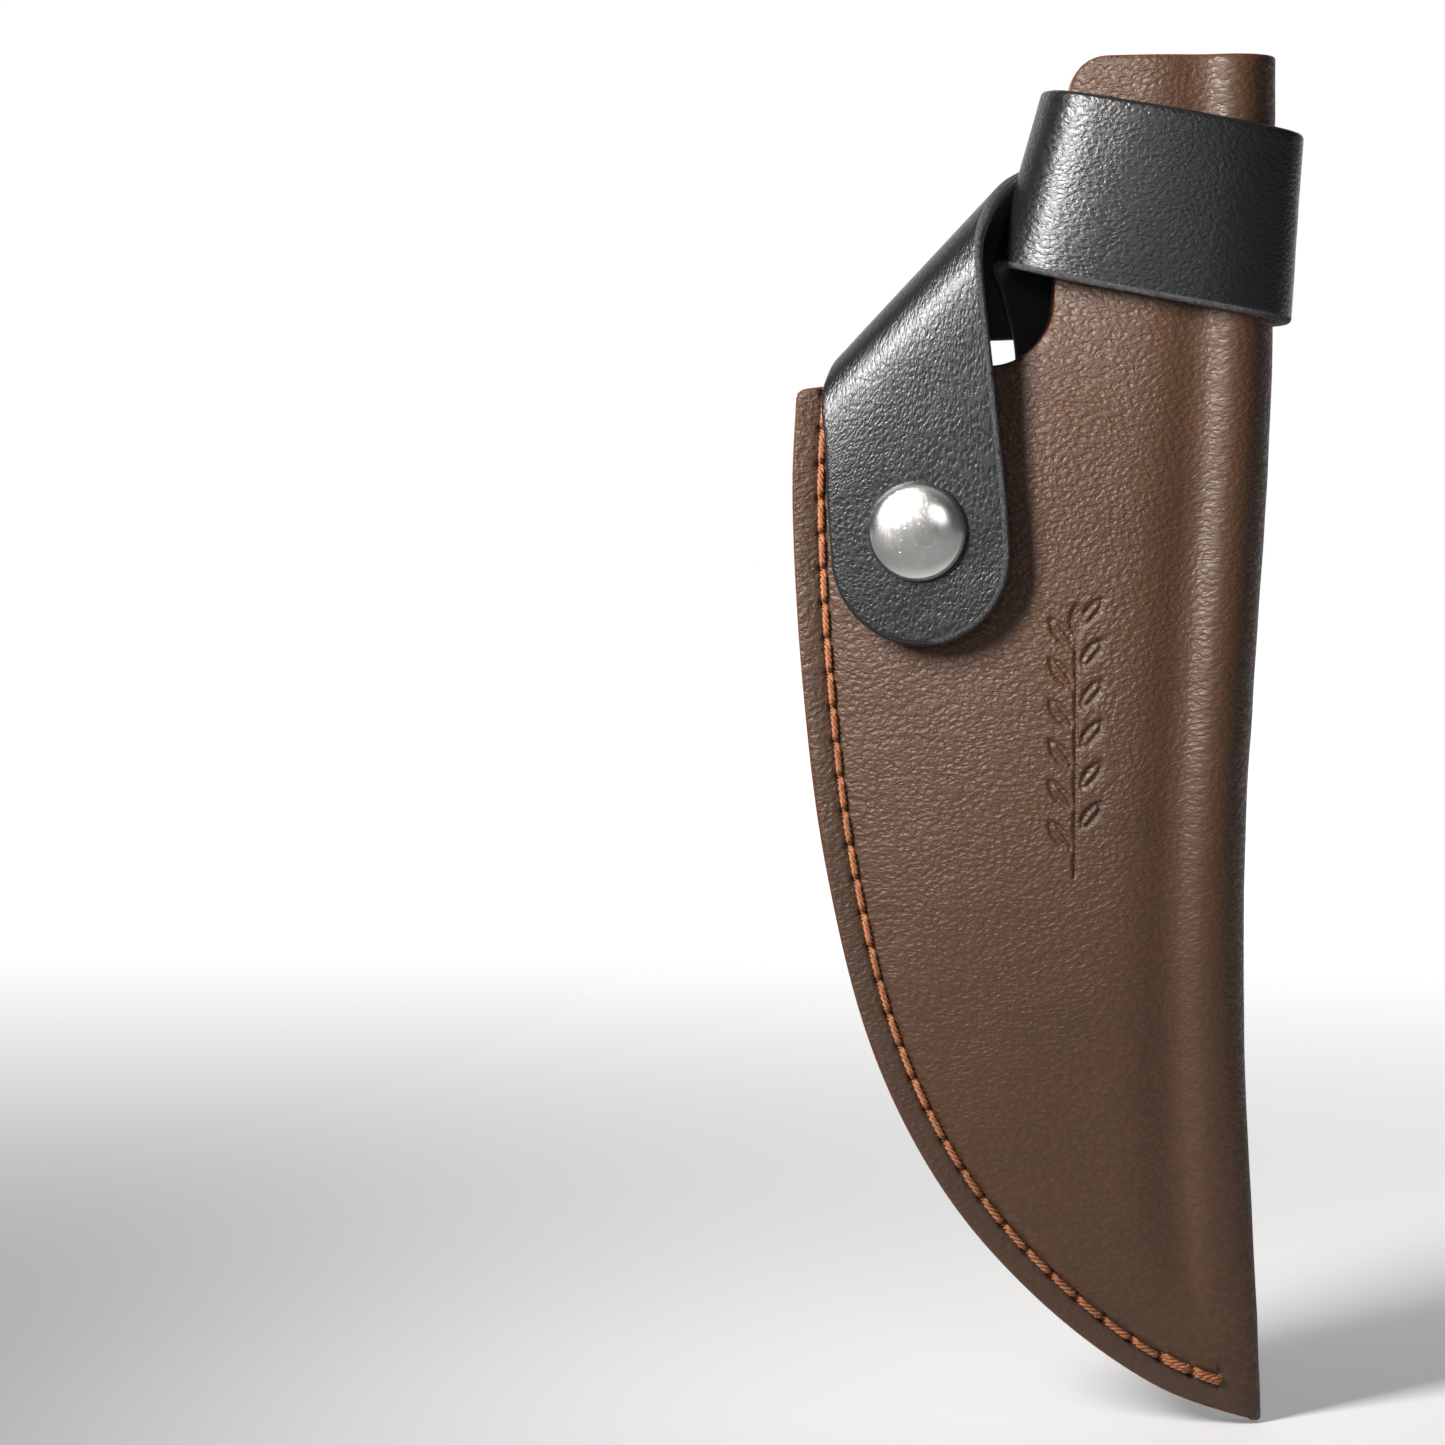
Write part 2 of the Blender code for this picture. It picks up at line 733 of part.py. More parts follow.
def build_rivets(body, band, loop):
    """Two rivets hold the loop's top end and the strap's root, and two its foot."""
    stacks = {"upper": (RIVET_TOP_Z, LEATHER + GAP), "lower": (RIVET_LOW_Z, 0.0)}
    sides = {"left": LOOP_X - RIVET_SPREAD, "right": LOOP_X + RIVET_SPREAD}
    inside = BACK_FACE - LEATHER
    outwards = Vector((0, 1, 0))
    places = []
    for level, (z, strap_stack) in stacks.items():
        outside = BACK_FACE + GAP + strap_stack + LOOP_LEATHER
        for side, x in sides.items():
            places.append((x, z))
            cap = turned(f"rivet_cap_{level}_{side}", rivet_cap_profile(), 16)
            place(cap, PARTS, slot="nickel")
            stand_on(cap, Vector((x, outside, z)), outwards)
            shank = rivet_post_profile(outside - inside + 0.7)
            post = turned(f"rivet_post_{level}_{side}", shank, 16)
            place(post, PARTS, slot="nickel")
            stand_on(post, Vector((x, inside, z)), outwards)
    holes = place(pegs("rivet_holes", places, RIVET_HOLE, BACK_FACE - 4, BACK_FACE + 8, 12), CUTTERS)
    for piece in (body, band, loop):
        cut(piece, holes)


# ---------------------------------------------------------------- assembly


def build():
    body = build_body()
    welt = build_welt()
    build_seam(body, welt)
    band, tail, point, direction = build_strap()
    place(band, PARTS, slot="black_leather")
    hinge = bpy.data.objects.new("strap_hinge", None)
    hinge.location = point * MM
    PARTS.objects.link(hinge)
    hinge.parent = FRAME
    tail.data.transform(Matrix.Translation(-point * MM))
    place(tail, PARTS, hinge, "black_leather")
    build_snap(hinge, body, tail)
    loop = build_belt_loop()
    build_rivets(body, band, loop)
    return point, direction


for old_object in list(bpy.data.objects):
    bpy.data.objects.remove(old_object)
PARTS = new_collection("knife_sheath")
CUTTERS = new_collection("cutters", hidden=True)
FRAME = bpy.data.objects.new("sheath_frame", None)
FRAME.location = -ORIGIN * MM
PARTS.objects.link(FRAME)
hinge_point, hinge_direction = build()
bpy.context.view_layer.update()
print("strap hinge at", [round(c, 5) for c in (hinge_point - ORIGIN) * MM], "along", list(hinge_direction))
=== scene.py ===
"""Leather knife sheath: the finished surfaces, materials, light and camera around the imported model.

Shapes are worked out in the part's design frame, in millimetres (X across with the spine at 0,
front at negative Y, Z up from the tip), and placed in the row frame by to_row().
"""

import math

import bmesh
import bpy
import numpy as np
from mathutils import Matrix, Vector, noise


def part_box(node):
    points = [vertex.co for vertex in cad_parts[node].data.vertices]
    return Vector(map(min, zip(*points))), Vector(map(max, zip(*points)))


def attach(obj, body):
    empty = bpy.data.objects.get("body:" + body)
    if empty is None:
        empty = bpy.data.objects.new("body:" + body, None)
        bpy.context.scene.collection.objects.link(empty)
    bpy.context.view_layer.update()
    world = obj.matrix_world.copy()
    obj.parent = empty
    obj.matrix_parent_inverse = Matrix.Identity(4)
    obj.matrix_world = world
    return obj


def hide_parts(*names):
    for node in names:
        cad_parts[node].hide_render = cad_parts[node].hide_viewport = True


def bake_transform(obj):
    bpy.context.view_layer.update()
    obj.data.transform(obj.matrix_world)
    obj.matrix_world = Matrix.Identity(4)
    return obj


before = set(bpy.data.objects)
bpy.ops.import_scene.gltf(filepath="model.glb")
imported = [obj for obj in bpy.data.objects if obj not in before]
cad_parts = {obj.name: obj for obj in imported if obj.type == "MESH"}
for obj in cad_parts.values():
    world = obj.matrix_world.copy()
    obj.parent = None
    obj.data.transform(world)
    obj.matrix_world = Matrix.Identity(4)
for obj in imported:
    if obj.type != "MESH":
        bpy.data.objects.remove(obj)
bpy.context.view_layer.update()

MM = 0.001

# ---- the part's driving sizes

LEATHER = 2.0
WELT = 1.8
SEAM_STACK = 2 * LEATHER + WELT + 0.6
WELT_WIDTH = 7.0
TOP = 216.4
BACK_FACE = 8.0
MOUTH_RIGHT = (-44.6, 168.2)
TAB_LEFT = -34.4
TAB_LEAN = 2.6
TAB_CORNER = 5.5
NOTCH_RADIUS = 10.2
SPINE_BOW = 3.9
SPINE_BOW_HEIGHT = 82.0
SPINE_BOW_REACH = 96.0
BULGE = 10.0
BULGE_FROM = 4.0
BULGE_TO = 110.0
BELLY = (
    *((-74.6, 164.6), (-75.2, 146.0), (-73.6, 118.0), (-70.0, 89.5), (-62.9, 61.0)),
    *((-51.5, 38.0), (-36.0, 20.0), (-18.0, 6.6), (-0.4, 0.0)),
)
STITCH_INSET = 4.4
STITCH_PITCH = 5.5
STITCH_COUNT = 33
STITCH_START = 0.6
LOOP_X = -28.0
LOOP_HALF_WIDTH = 13.0
LOOP_LEATHER = 2.2
CHANNEL_DEPTH = 5.0
CHANNEL_LOW = 102.0
CHANNEL_HIGH = 146.0
RIVET_SPREAD = 7.0
RIVET_TOP_Z = 157.5
RIVET_LOW_Z = 90.0
GAP = 0.3

# The row frame's shift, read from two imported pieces
BODY_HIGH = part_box("sheath_body")[1]
LOOP_LOW, LOOP_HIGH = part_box("belt_loop")
SHIFT_X = (LOOP_LOW.x + LOOP_HIGH.x) / 2 - LOOP_X * MM
SHIFT = Vector((SHIFT_X, BODY_HIGH.y - BACK_FACE * MM, BODY_HIGH.z - TOP * MM))


def to_row(points):
    """Design points in millimetres as row-frame points in metres."""
    return np.asarray(points, float) * MM + np.array(SHIFT)


# ---- curves


def smooth_through(points, steps):
    """A Catmull-Rom curve through the points, with the given steps in each span."""
    points = np.asarray(points, float)
    padded = np.vstack([2 * points[0] - points[1], points, 2 * points[-1] - points[-2]])
    t = np.linspace(0, 1, steps, endpoint=False)[:, None]
    spans = []
    for i in range(len(points) - 1):
        a, b, c, d = padded[i : i + 4]
        spans.append(
            0.5 * (2 * b + (c - a) * t + (2 * a - 5 * b + 4 * c - d) * t**2 + (3 * b - a - 3 * c + d) * t**3)
        )
    return np.vstack([*spans, points[-1:]])


def smoothstep(value, low, high):
    t = np.clip((value - low) / (high - low), 0, 1)
    return t * t * (3 - 2 * t)


def offset_inwards(curve, distance):
    along = unit(np.gradient(curve, axis=0))
    return curve + distance * np.column_stack([-along[:, 1], along[:, 0]])


def unit(vectors):
    """The vectors at length 1."""
    return vectors / np.maximum(np.linalg.norm(vectors, axis=1), 1e-9)[:, None]


def run_along(curve):
    """Distance from a curve's start to each of its points."""
    return np.concatenate([[0], np.cumsum(np.linalg.norm(np.diff(curve, axis=0), axis=1))])


def along_curve(curve, lengths):
    run = run_along(curve)
    return np.column_stack([np.interp(lengths, run, curve[:, k]) for k in range(curve.shape[1])])


def arc(centre, radius, start, end, steps):
    angles = np.radians(np.linspace(start, end, steps))
    return [(centre[0] + radius * math.cos(a), centre[1] + radius * math.sin(a)) for a in angles]


def round_corners(points, reach, most, steps):
    """The points joined by straight runs. A corner rounds over the reach, or over the most of a run."""
    points = [np.array(point, float) for point in points]
    line = [points[0]]
    for before, here, after in zip(points[:-2], points[1:-1], points[2:]):
        a = here + (before - here) * min(most, reach / np.linalg.norm(before - here))
        b = here + (after - here) * min(most, reach / np.linalg.norm(after - here))
        for t in np.linspace(0, 1, steps):
            line.append((1 - t) ** 2 * a + 2 * t * (1 - t) * here + t**2 * b)
    return np.array([*line, points[-1]])


def distance_to_line(points, line):
    """Distance from each (x, z) point to an open line."""
    best = np.full(len(points), np.inf)
    for start, end in zip(line[:-1], line[1:]):
        step = end - start
        share = np.clip(((points - start) @ step) / (step @ step), 0, 1)
        best = np.minimum(best, np.linalg.norm(points - start - share[:, None] * step, axis=1))
    return best


def inside_outline(points, outline):
    """Which points an outline encloses."""
    inside = np.zeros(len(points), bool)
    x, z = points.T
    for (ax, az), (bx, bz) in zip(outline, np.roll(outline, -1, axis=0)):
        if az == bz:
            continue
        crossing = (az > z) != (bz > z)
        inside ^= crossing & (x < (bx - ax) * (z - az) / (bz - az) + ax)
    return inside


BELLY_CURVE = smooth_through(BELLY, 12)
STITCH_CURVE = offset_inwards(smooth_through(BELLY, 24), STITCH_INSET)
STITCH_HOLES = along_curve(STITCH_CURVE, STITCH_START + STITCH_PITCH * np.arange(STITCH_COUNT + 1))
ABOVE_MOUTH = ((TAB_LEFT - 9, TOP + 20), (TAB_LEFT - 10, 190), (BELLY[0][0], 170))
EDGE_LINE = np.vstack([ABOVE_MOUTH, BELLY_CURVE])

# ---- the body's shape

FOLD_ACROSS = 6.8
SHOULDER = 0.9
SHOULDER_SHARE = 0.4
SHOULDER_REACH = 3.0
VALLEY = 1.6
VALLEY_INSET = 12.0
VALLEY_WIDTH = 4.8
VALLEY_FADE = 3.5
VALLEY_HEIGHTS = (5, 40)


def spine_x(z):
    reach = np.clip((z - SPINE_BOW_HEIGHT) / SPINE_BOW_REACH, -1, 1)
    return -SPINE_BOW * np.cos(reach * math.pi / 2) ** 2


def belly_x(z):
    return np.interp(z, BELLY_CURVE[::-1, 1], BELLY_CURVE[::-1, 0])


def bulge(z):
    return BULGE * smoothstep(z, BULGE_FROM, BULGE_TO)


def fold_half_depth(z):
    return (SEAM_STACK + bulge(z)) / 2


def fold_start(z):
    return spine_x(z) - FOLD_ACROSS


def front_face(x, z):
    """Y of the front's outer face: flat at the seam, a shoulder, a crown, and a valley by the spine."""
    edge = distance_to_line(np.column_stack([x, z]), EDGE_LINE)
    inside = np.maximum(edge - WELT_WIDTH, 0)
    to_fold = np.maximum(fold_start(z) - x, 0)
    share = inside / np.maximum(inside + to_fold, 1e-6)
    depth = bulge(z)
    step = np.minimum(SHOULDER, depth * SHOULDER_SHARE)
    shoulder = step * smoothstep(edge, STITCH_INSET, STITCH_INSET + SHOULDER_REACH)
    crown = (depth - step) * (1 - (1 - share) ** 2)
    across = (x - spine_x(z) + VALLEY_INSET) / VALLEY_WIDTH
    valley = VALLEY * smoothstep(z, *VALLEY_HEIGHTS) * np.exp(-(across**2))
    valley = valley * smoothstep(inside, 2, 12) * smoothstep(to_fold, 0, VALLEY_FADE)
    return BACK_FACE - SEAM_STACK - shoulder - crown + valley


BACK_PART = 1.0
FOLD_PART = 2.0


def body_middle(c, z):
    """The leather's middle. c runs over the back (0 to 1), the fold (1 to 2) and the front (2 to 3)."""
    start = fold_start(z)
    left = np.minimum(belly_x(z) - 4, start - 3)
    half = LEATHER / 2
    deep = fold_half_depth(z)
    x = np.where(c < BACK_PART, left + (start - left) * c, start + (left - start) * (c - FOLD_PART))
    turn = math.pi * np.clip(c - BACK_PART, 0, 1)
    round_part = (c >= BACK_PART) & (c <= FOLD_PART)
    x = np.where(round_part, start + (spine_x(z) - start - half) * np.sin(turn), x)
    y = np.where(c < BACK_PART, BACK_FACE - half, BACK_FACE - deep + (deep - half) * np.cos(turn))
    front = c > FOLD_PART
    y = np.where(front, front_face(x, z) + half, y)
    return np.column_stack([x, y, z])


def body_outline():
    """The cut outline of the folded blank, with the fold side left wide."""
    tab_foot = (TAB_LEFT, MOUTH_RIGHT[1] + NOTCH_RADIUS)
    corner = (TAB_LEFT + TAB_LEAN + TAB_CORNER, TOP - TAB_CORNER)
    notch = arc((MOUTH_RIGHT[0], tab_foot[1]), NOTCH_RADIUS, -90, 0, 13)
    lip = (BELLY[0][0] + 1.2, BELLY[0][1] + 0.1)
    tab = [(20, -0.02), (20, TOP), *arc(corner, TAB_CORNER, 90, 180, 13), *reversed(notch)]
    mouth = [lip, (BELLY[0][0] + 0.35, BELLY[0][1] - 0.35), (BELLY[0][0] - 0.05, BELLY[0][1] - 1.3)]
    return np.array([*tab, *mouth, *BELLY_CURVE[2:-1], (-1.0, -0.02)])


OUTLINE = body_outline()

# ---- mesh building


def split_at(bm, layer, level):
    """Cuts the flat mesh along a line of equal value of a vertex layer."""
    cuts = {}
    for edge in list(bm.edges):
        a, b = edge.verts
        va, vb = a[layer] - level, b[layer] - level
        if va * vb >= 0 or abs(va) < 1e-9 or abs(vb) < 1e-9:
            continue
        _, made = bmesh.utils.edge_split(edge, a, va / (va - vb))
        made[layer] = level
        cuts[made] = True
    for face in dict.fromkeys(f for v in cuts for f in v.link_faces):
        on = [v for v in face.verts if abs(v[layer] - level) < 1e-9]
        if len(on) == 2 and not any(on[1] in e.verts for e in on[0].link_edges):
            bmesh.utils.face_split(face, on[0], on[1])


def add_to_scene(name, data):
    made = bpy.data.objects.new(name, data)
    bpy.context.scene.collection.objects.link(made)
    return made


def new_piece(name, points, faces, fix_normals=False):
    """A smooth-shaded object from design points, with its faces turned outwards if asked."""
    mesh = bpy.data.meshes.new(name)
    mesh.from_pydata(to_row(points), [], faces)
    if fix_normals:
        bm = bmesh.new()
        bm.from_mesh(mesh)
        bmesh.ops.recalc_face_normals(bm, faces=bm.faces)
        bm.to_mesh(mesh)
        bm.free()
    mesh.polygons.foreach_set("use_smooth", [True] * len(mesh.polygons))
    return add_to_scene(name, mesh)


def stand_in(piece, node_name, materials, body="sheath"):
    """Gives a piece its materials. It stands for a CAD node, and rides on a body if one is named."""
    for made in materials:
        piece.data.materials.append(made)
    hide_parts(node_name)
    if body:
        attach(piece, body)


def shell(name, points, normals, outer, inner, faces, uv, attributes):
    """A closed sheet: the points moved out and in along their normals, with a rim joining the two sides.
    Material 0 is the outer side, 1 the inner side and 2 the rim."""
    count = len(points)
    edges = {}
    for face in faces:
        for a, b in zip(face, face[1:] + face[:1]):
            edges.setdefault((min(a, b), max(a, b)), []).append((a, b))
    border = [pairs[0] for pairs in edges.values() if len(pairs) == 1]
    all_faces = list(faces) + [tuple(i + count for i in reversed(f)) for f in faces]
    all_faces += [(b, a, a + count, b + count) for a, b in border]
    kinds = [0] * len(faces) + [1] * len(faces) + [2] * len(border)
    sides = np.vstack([points + normals * outer[:, None], points - normals * inner[:, None]])
    piece = new_piece(name, sides, all_faces)
    mesh = piece.data
    mesh.polygons.foreach_set("material_index", kinds)
    corner_vertex = np.zeros(len(mesh.loops), int)
    mesh.loops.foreach_get("vertex_index", corner_vertex)
    flat = np.vstack([uv, uv])[corner_vertex].astype(np.float32)
    mesh.uv_layers.new(name="UVMap").data.foreach_set("uv", flat.ravel())
    for key, values in attributes.items():
        made = mesh.attributes.new(key, "FLOAT", "POINT")
        made.data.foreach_set("value", np.concatenate([values, values]).astype(np.float32))
    mesh.update()
    return piece


def rounded(depth_in, half, radius):
    """Half thickness at a distance in from a cut edge that is rounded to the radius."""
    near = np.clip(depth_in, 0, radius)
    return half - radius + np.sqrt(np.maximum(radius**2 - (radius - near) ** 2, 0))


def surface_normals(position, c, z, dc, dz):
    """Unit normals of a mapped surface by small differences."""
    across = position(c + dc, z) - position(c - dc, z)
    upwards = position(c, z + dz) - position(c, z - dz)
    return unit(np.cross(upwards, across))


# ---- sheath leather

BODY_COLUMNS = (30, 18, 84)
BODY_ROWS = 236
FAR = 20
EDGE_RADIUS = 0.55
GROOVE_DEPTH = 0.38
GROOVE_HALF_WIDTH = 0.95
HOLE_DEPTH = 0.9
HOLE_RADIUS = 0.75
SPRIG_BASE = (-31.0, 88.5)
SPRIG_TOP = (-31.0, 131.5)
SPRIG_DEPTH = 0.5
SPRIG_REACH = 6.2
STEM_HALF_WIDTH = 0.38
VEIN_HALF_WIDTH = 0.16
LEAF_LEAN = 38
LEAF_LENGTH = 6.2
LEAF_WIDTH = 2.5
LEAF_PAIRS = 6


def leaf_distance(points, base, direction):
    """Signed distance to a pointed leaf: the overlap of two discs."""
    across = np.array([-direction[1], direction[0]])
    along = (points - base) @ direction - LEAF_LENGTH / 2
    side = np.abs((points - base) @ across)
    radius = (LEAF_LENGTH**2 / 4 + LEAF_WIDTH**2 / 4) / LEAF_WIDTH
    return np.hypot(along, side + radius - LEAF_WIDTH / 2) - radius


def sprig_depth(x, z):
    """How far a plain pressed sprig goes into the front face: a stem with leaves to both sides."""
    points = np.column_stack([x, z])
    base, tip = np.array(SPRIG_BASE), np.array(SPRIG_TOP)
    shape = distance_to_line(points, np.array([base, tip - (0, 5)])) - STEM_HALF_WIDTH
    rise = (tip[1] - base[1] - LEAF_LENGTH - 5) / (LEAF_PAIRS - 1)
    for i in range(LEAF_PAIRS):
        for side in (-1, 1):
            lean = math.radians(90 - side * LEAF_LEAN)
            foot = base + (side * 0.5, 4 + i * rise + (0 if side < 0 else rise / 2))
            direction = np.array([math.cos(lean), math.sin(lean)])
            leaf = leaf_distance(points, foot, direction)
            vein = np.array([foot + direction * 1.2, foot + direction * 4.6])
            vein_shape = distance_to_line(points, vein) - VEIN_HALF_WIDTH
            shape = np.minimum(shape, np.maximum(leaf, -vein_shape))
    shape = np.minimum(shape, leaf_distance(points, tip - (0, LEAF_LENGTH), np.array([0.0, 1.0])))
    return SPRIG_DEPTH * (1 - smoothstep(shape, -0.22, 0.12))


def refine(bm, wanted, cuts):
    """Divides the faces whose middle is wanted."""
    faces = list(bm.faces)
    middle = np.array([f.calc_center_median()[:2] for f in faces])
    keep = wanted(middle[:, 0], middle[:, 1])
    edges = {e for f, k in zip(faces, keep) if k for e in f.edges}
    bmesh.ops.subdivide_edges(bm, edges=list(edges), cuts=cuts, use_grid_fill=True)


def design_xz(c, z):
    middle = body_middle(c, z)
    return middle[:, 0], middle[:, 2]


def near_seam(c, z):
    x, z = design_xz(c, z)
    away = distance_to_line(np.column_stack([x, z]), STITCH_CURVE)
    return (away < 1.5) & ((c > FOLD_PART) | (c < BACK_PART))


def on_sprig(c, z):
    x, z = design_xz(c, z)
    level = (z > SPRIG_BASE[1] - 1.5) & (z < SPRIG_TOP[1] + 1.5)
    return (np.abs(x - SPRIG_BASE[0]) < SPRIG_REACH) & level & (c > FOLD_PART)


def flat_body():
    """The blank as a flat mesh in (c, z), cut to its outline, with lines where its edges round off."""
    parts = [part + np.linspace(0, 1, count, endpoint=False) for part, count in enumerate(BODY_COLUMNS)]
    columns = np.concatenate([*parts, [len(parts)]])
    bm = bmesh.new()
    bmesh.ops.create_grid(bm, x_segments=len(columns) - 1, y_segments=BODY_ROWS, size=1)
    for vertex in bm.verts:
        i = round((vertex.co.x + 1) / 2 * (len(columns) - 1))
        share = (vertex.co.y + 1) / 2
        vertex.co = (columns[i], -2 + (TOP + 4) * share, 0)
    refine(bm, near_seam, 1)
    refine(bm, on_sprig, 2)
    layer = bm.verts.layers.float.new("inset")
    place = np.array([v.co[:2] for v in bm.verts])
    x, z = design_xz(*place.T)
    flat = np.column_stack([x, z])
    inset = distance_to_line(flat, np.vstack([OUTLINE, OUTLINE[:1]]))
    inset[~inside_outline(flat, OUTLINE)] *= -1
    for vertex, value in zip(bm.verts, inset):
        vertex[layer] = value
    for level in (0.0, 0.1, 0.28, EDGE_RADIUS):
        split_at(bm, layer, level)
    outside = [f for f in bm.faces if sum(v[layer] for v in f.verts) < -1e-6]
    bmesh.ops.delete(bm, geom=outside, context="FACES")
    loose = [v for v in bm.verts if not v.link_faces]
    bmesh.ops.delete(bm, geom=loose, context="VERTS")
    bm.verts.index_update()
    place = np.array([v.co[:2] for v in bm.verts])
    inset = np.array([v[layer] for v in bm.verts])
    faces = [tuple(v.index for v in f.verts) for f in bm.faces]
    bm.free()
    return place, inset, faces


def waviness(points, size, seed):
    """Gentle unevenness between -1 and 1, with bumps of about the given size."""
    return np.array([noise.noise(Vector(p) / size + Vector((seed, 0, 0))) for p in points])


def build_sheath_leather():
    place, inset, faces = flat_body()
    c, z = place.T
    points = body_middle(c, z)
    normals = surface_normals(body_middle, c, z, 0.002, 0.2)
    flat = np.column_stack([points[:, 0], z])
    panel = (c < BACK_PART) | (c > FOLD_PART)
    seam = np.where(panel, distance_to_line(flat, STITCH_CURVE), 5 * FAR)
    to_holes = np.linalg.norm(flat[:, None] - STITCH_HOLES[None], axis=2)
    hole = np.where(panel, np.min(to_holes, axis=1), 5 * FAR)
    sunk = GROOVE_DEPTH * np.exp(-((seam / GROOVE_HALF_WIDTH) ** 2))
    sunk += HOLE_DEPTH * np.exp(-((hole / HOLE_RADIUS) ** 4))
    front = c > FOLD_PART
    sunk[front] += sprig_depth(points[front, 0], z[front])
    edge = distance_to_line(flat, EDGE_LINE)
    free = smoothstep(edge, 6, 16)
    sunk += 0.22 * free * waviness(points, 22, 3) + 0.1 * waviness(points, 9, 8)
    half = rounded(inset, LEATHER / 2, EDGE_RADIUS)
    uv = np.column_stack([unrolled(c, z, points), z]) * MM
    attributes = {
        "inset": inset,
        # Distance to the nearest stitch hole: it dents the leather, and the material paints shade in the
        # holes from it.
        "hole": np.minimum(hole, FAR),
        "margin": 1 - smoothstep(edge, STITCH_INSET - 0.6, STITCH_INSET + 0.8),
        "grain": grain_strength(points),
    }
    body = shell("sheath_leather", points, normals, half - sunk, half, faces, uv, attributes)
    stand_in(body, "sheath_body", BROWN_SIDES)


def grain_strength(points):
    """How deep the grain lies: fullest on the upper panel, fainter towards the tip and the spine."""
    x, z = points[:, 0], points[:, 2]
    strength = 0.42 + 0.48 * smoothstep(z, 25, 120)
    by_spine = smoothstep(x, spine_x(z) - 24, spine_x(z) - 12)
    return strength * (1 - 0.4 * by_spine)


def unrolled(c, z, points):
    """Distance across the unfolded leather, in millimetres."""
    start = fold_start(z)
    deep = fold_half_depth(z)
    round_length = math.pi * (deep + FOLD_ACROSS) / 2
    turn = np.clip(c - BACK_PART, 0, 1)
    past_back = np.where(c > FOLD_PART, round_length + start - points[:, 0], turn * round_length)
    return np.where(c < BACK_PART, points[:, 0] - start, past_back)


# ---- strips of leather


def edge_steps(width, fine=(0.0, 0.1, 0.28, 0.6, 1.1), pitch=1.0):
    """Shares across a strip, close together near both cut edges."""
    inner = np.linspace(fine[-1], width - fine[-1], max(2, round((width - 2 * fine[-1]) / pitch) + 1))
    return np.concatenate([fine[:-1], inner, width - np.array(fine[:-1])[::-1]]) / width


def grid_faces(rows, columns):
    index = np.arange(rows * columns).reshape(rows, columns)
    corners = (index[:-1, :-1], index[:-1, 1:], index[1:, 1:], index[1:, :-1])
    return list(zip(*(corner.ravel().tolist() for corner in corners)))


def grid_normals(points, rows, columns):
    sheet = points.reshape(rows, columns, 3)
    return unit(np.cross(np.gradient(sheet, axis=0), np.gradient(sheet, axis=1)).reshape(-1, 3))


# The strap's two edges where it wraps the tab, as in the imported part: upper edge, lower edge
WRAP_EDGES = (
    ((-16.5, 9.3, 150.0), (-39.5, 9.3, 150.0)),
    ((-16.5, 9.3, 164.0), (-39.5, 9.3, 162.0)),
    ((-17.0, 9.3, 180.0), (-40.0, 9.3, 171.5)),
    ((-22.5, 9.5, 198.5), (-41.5, 9.2, 178.0)),
    ((-30.5, 9.8, 208.5), (-42.6, 7.6, 181.8)),
    ((-34.6, 7.4, 211.0), (-43.0, 3.6, 183.4)),
    ((-34.6, 0.8, 211.2), (-42.2, -0.8, 183.6)),
    ((-32.1, -4.9, 210.8), (-38.6, -5.0, 182.8)),
    ((-25.5, -7.9, 209.6), (-31.0, -7.9, 181.0)),
    ((-16.0, -9.8, 207.9), (-19.5, -9.6, 178.8)),
    ((-5.0, -9.6, 205.9), (-7.6, -9.6, 176.6)),
    ((1.9, -6.4, 204.6), (-0.3, -6.0, 175.2)),
    ((3.4, 0.5, 204.2), (1.8, 0.5, 174.7)),
    ((0.2, 9.4, 204.0), (-1.0, 9.4, 174.4)),
    ((-9.0, 12.2, 202.9), (-14.0, 12.2, 173.5)),
)
MEETING = 13
CREST_UPPER = (-42.2, 195.9)
CREST_LOWER = (-67.7, 168.6)
FOLD_RADII = (9.4, 7.0)
FOLD_RUNS = (15.0, 11.2)
FOLD_BACK = 12.3
FOLD_SQUARENESS = 0.75
FOLD_TURNS = (0, 35, 65, 90, 115, 145, 180)
TAIL_RISES = (10.0, 0.0)
STRAP_HALF_WIDTH = 14.2
STRAP_END_Z = 138.8
TAIL_SLANT = 0.075
STRAP_LIFT = 3.5
SNAP_X = -54.7
SNAP_Z = 142.5
STRAP_STEPS = 10
STRAP_EDGE_RADIUS = 0.85
STRAP_END_ROWS = 26


def front_y(x, z):
    return float(front_face(np.array([float(x)]), np.array([float(z)]))[0])


def front_normal(x, z, reach=5.0):
    across = front_y(x + reach, z) - front_y(x - reach, z)
    upwards = front_y(x, z + reach) - front_y(x, z - reach)
    return Vector((across, -2 * reach, upwards)).normalized()


SNAP_AXIS = front_normal(SNAP_X, SNAP_Z)
SNAP_SEAT = Vector((SNAP_X, front_y(SNAP_X, SNAP_Z), SNAP_Z))
STRAP_AT_SNAP = SNAP_SEAT + SNAP_AXIS * (STRAP_LIFT + LEATHER / 2)
TAIL_RIGHT = SNAP_AXIS.cross(Vector((TAIL_SLANT, 0, -1))).normalized()
TAIL_DOWN = TAIL_RIGHT.cross(SNAP_AXIS)
TAIL_END = STRAP_AT_SNAP + TAIL_DOWN * (SNAP_Z - STRAP_END_Z)


def tail_plane_y(x, z):
    to = Vector((x - STRAP_AT_SNAP.x, 0, z - STRAP_AT_SNAP.z))
    return STRAP_AT_SNAP.y - to.dot(SNAP_AXIS) / SNAP_AXIS.y


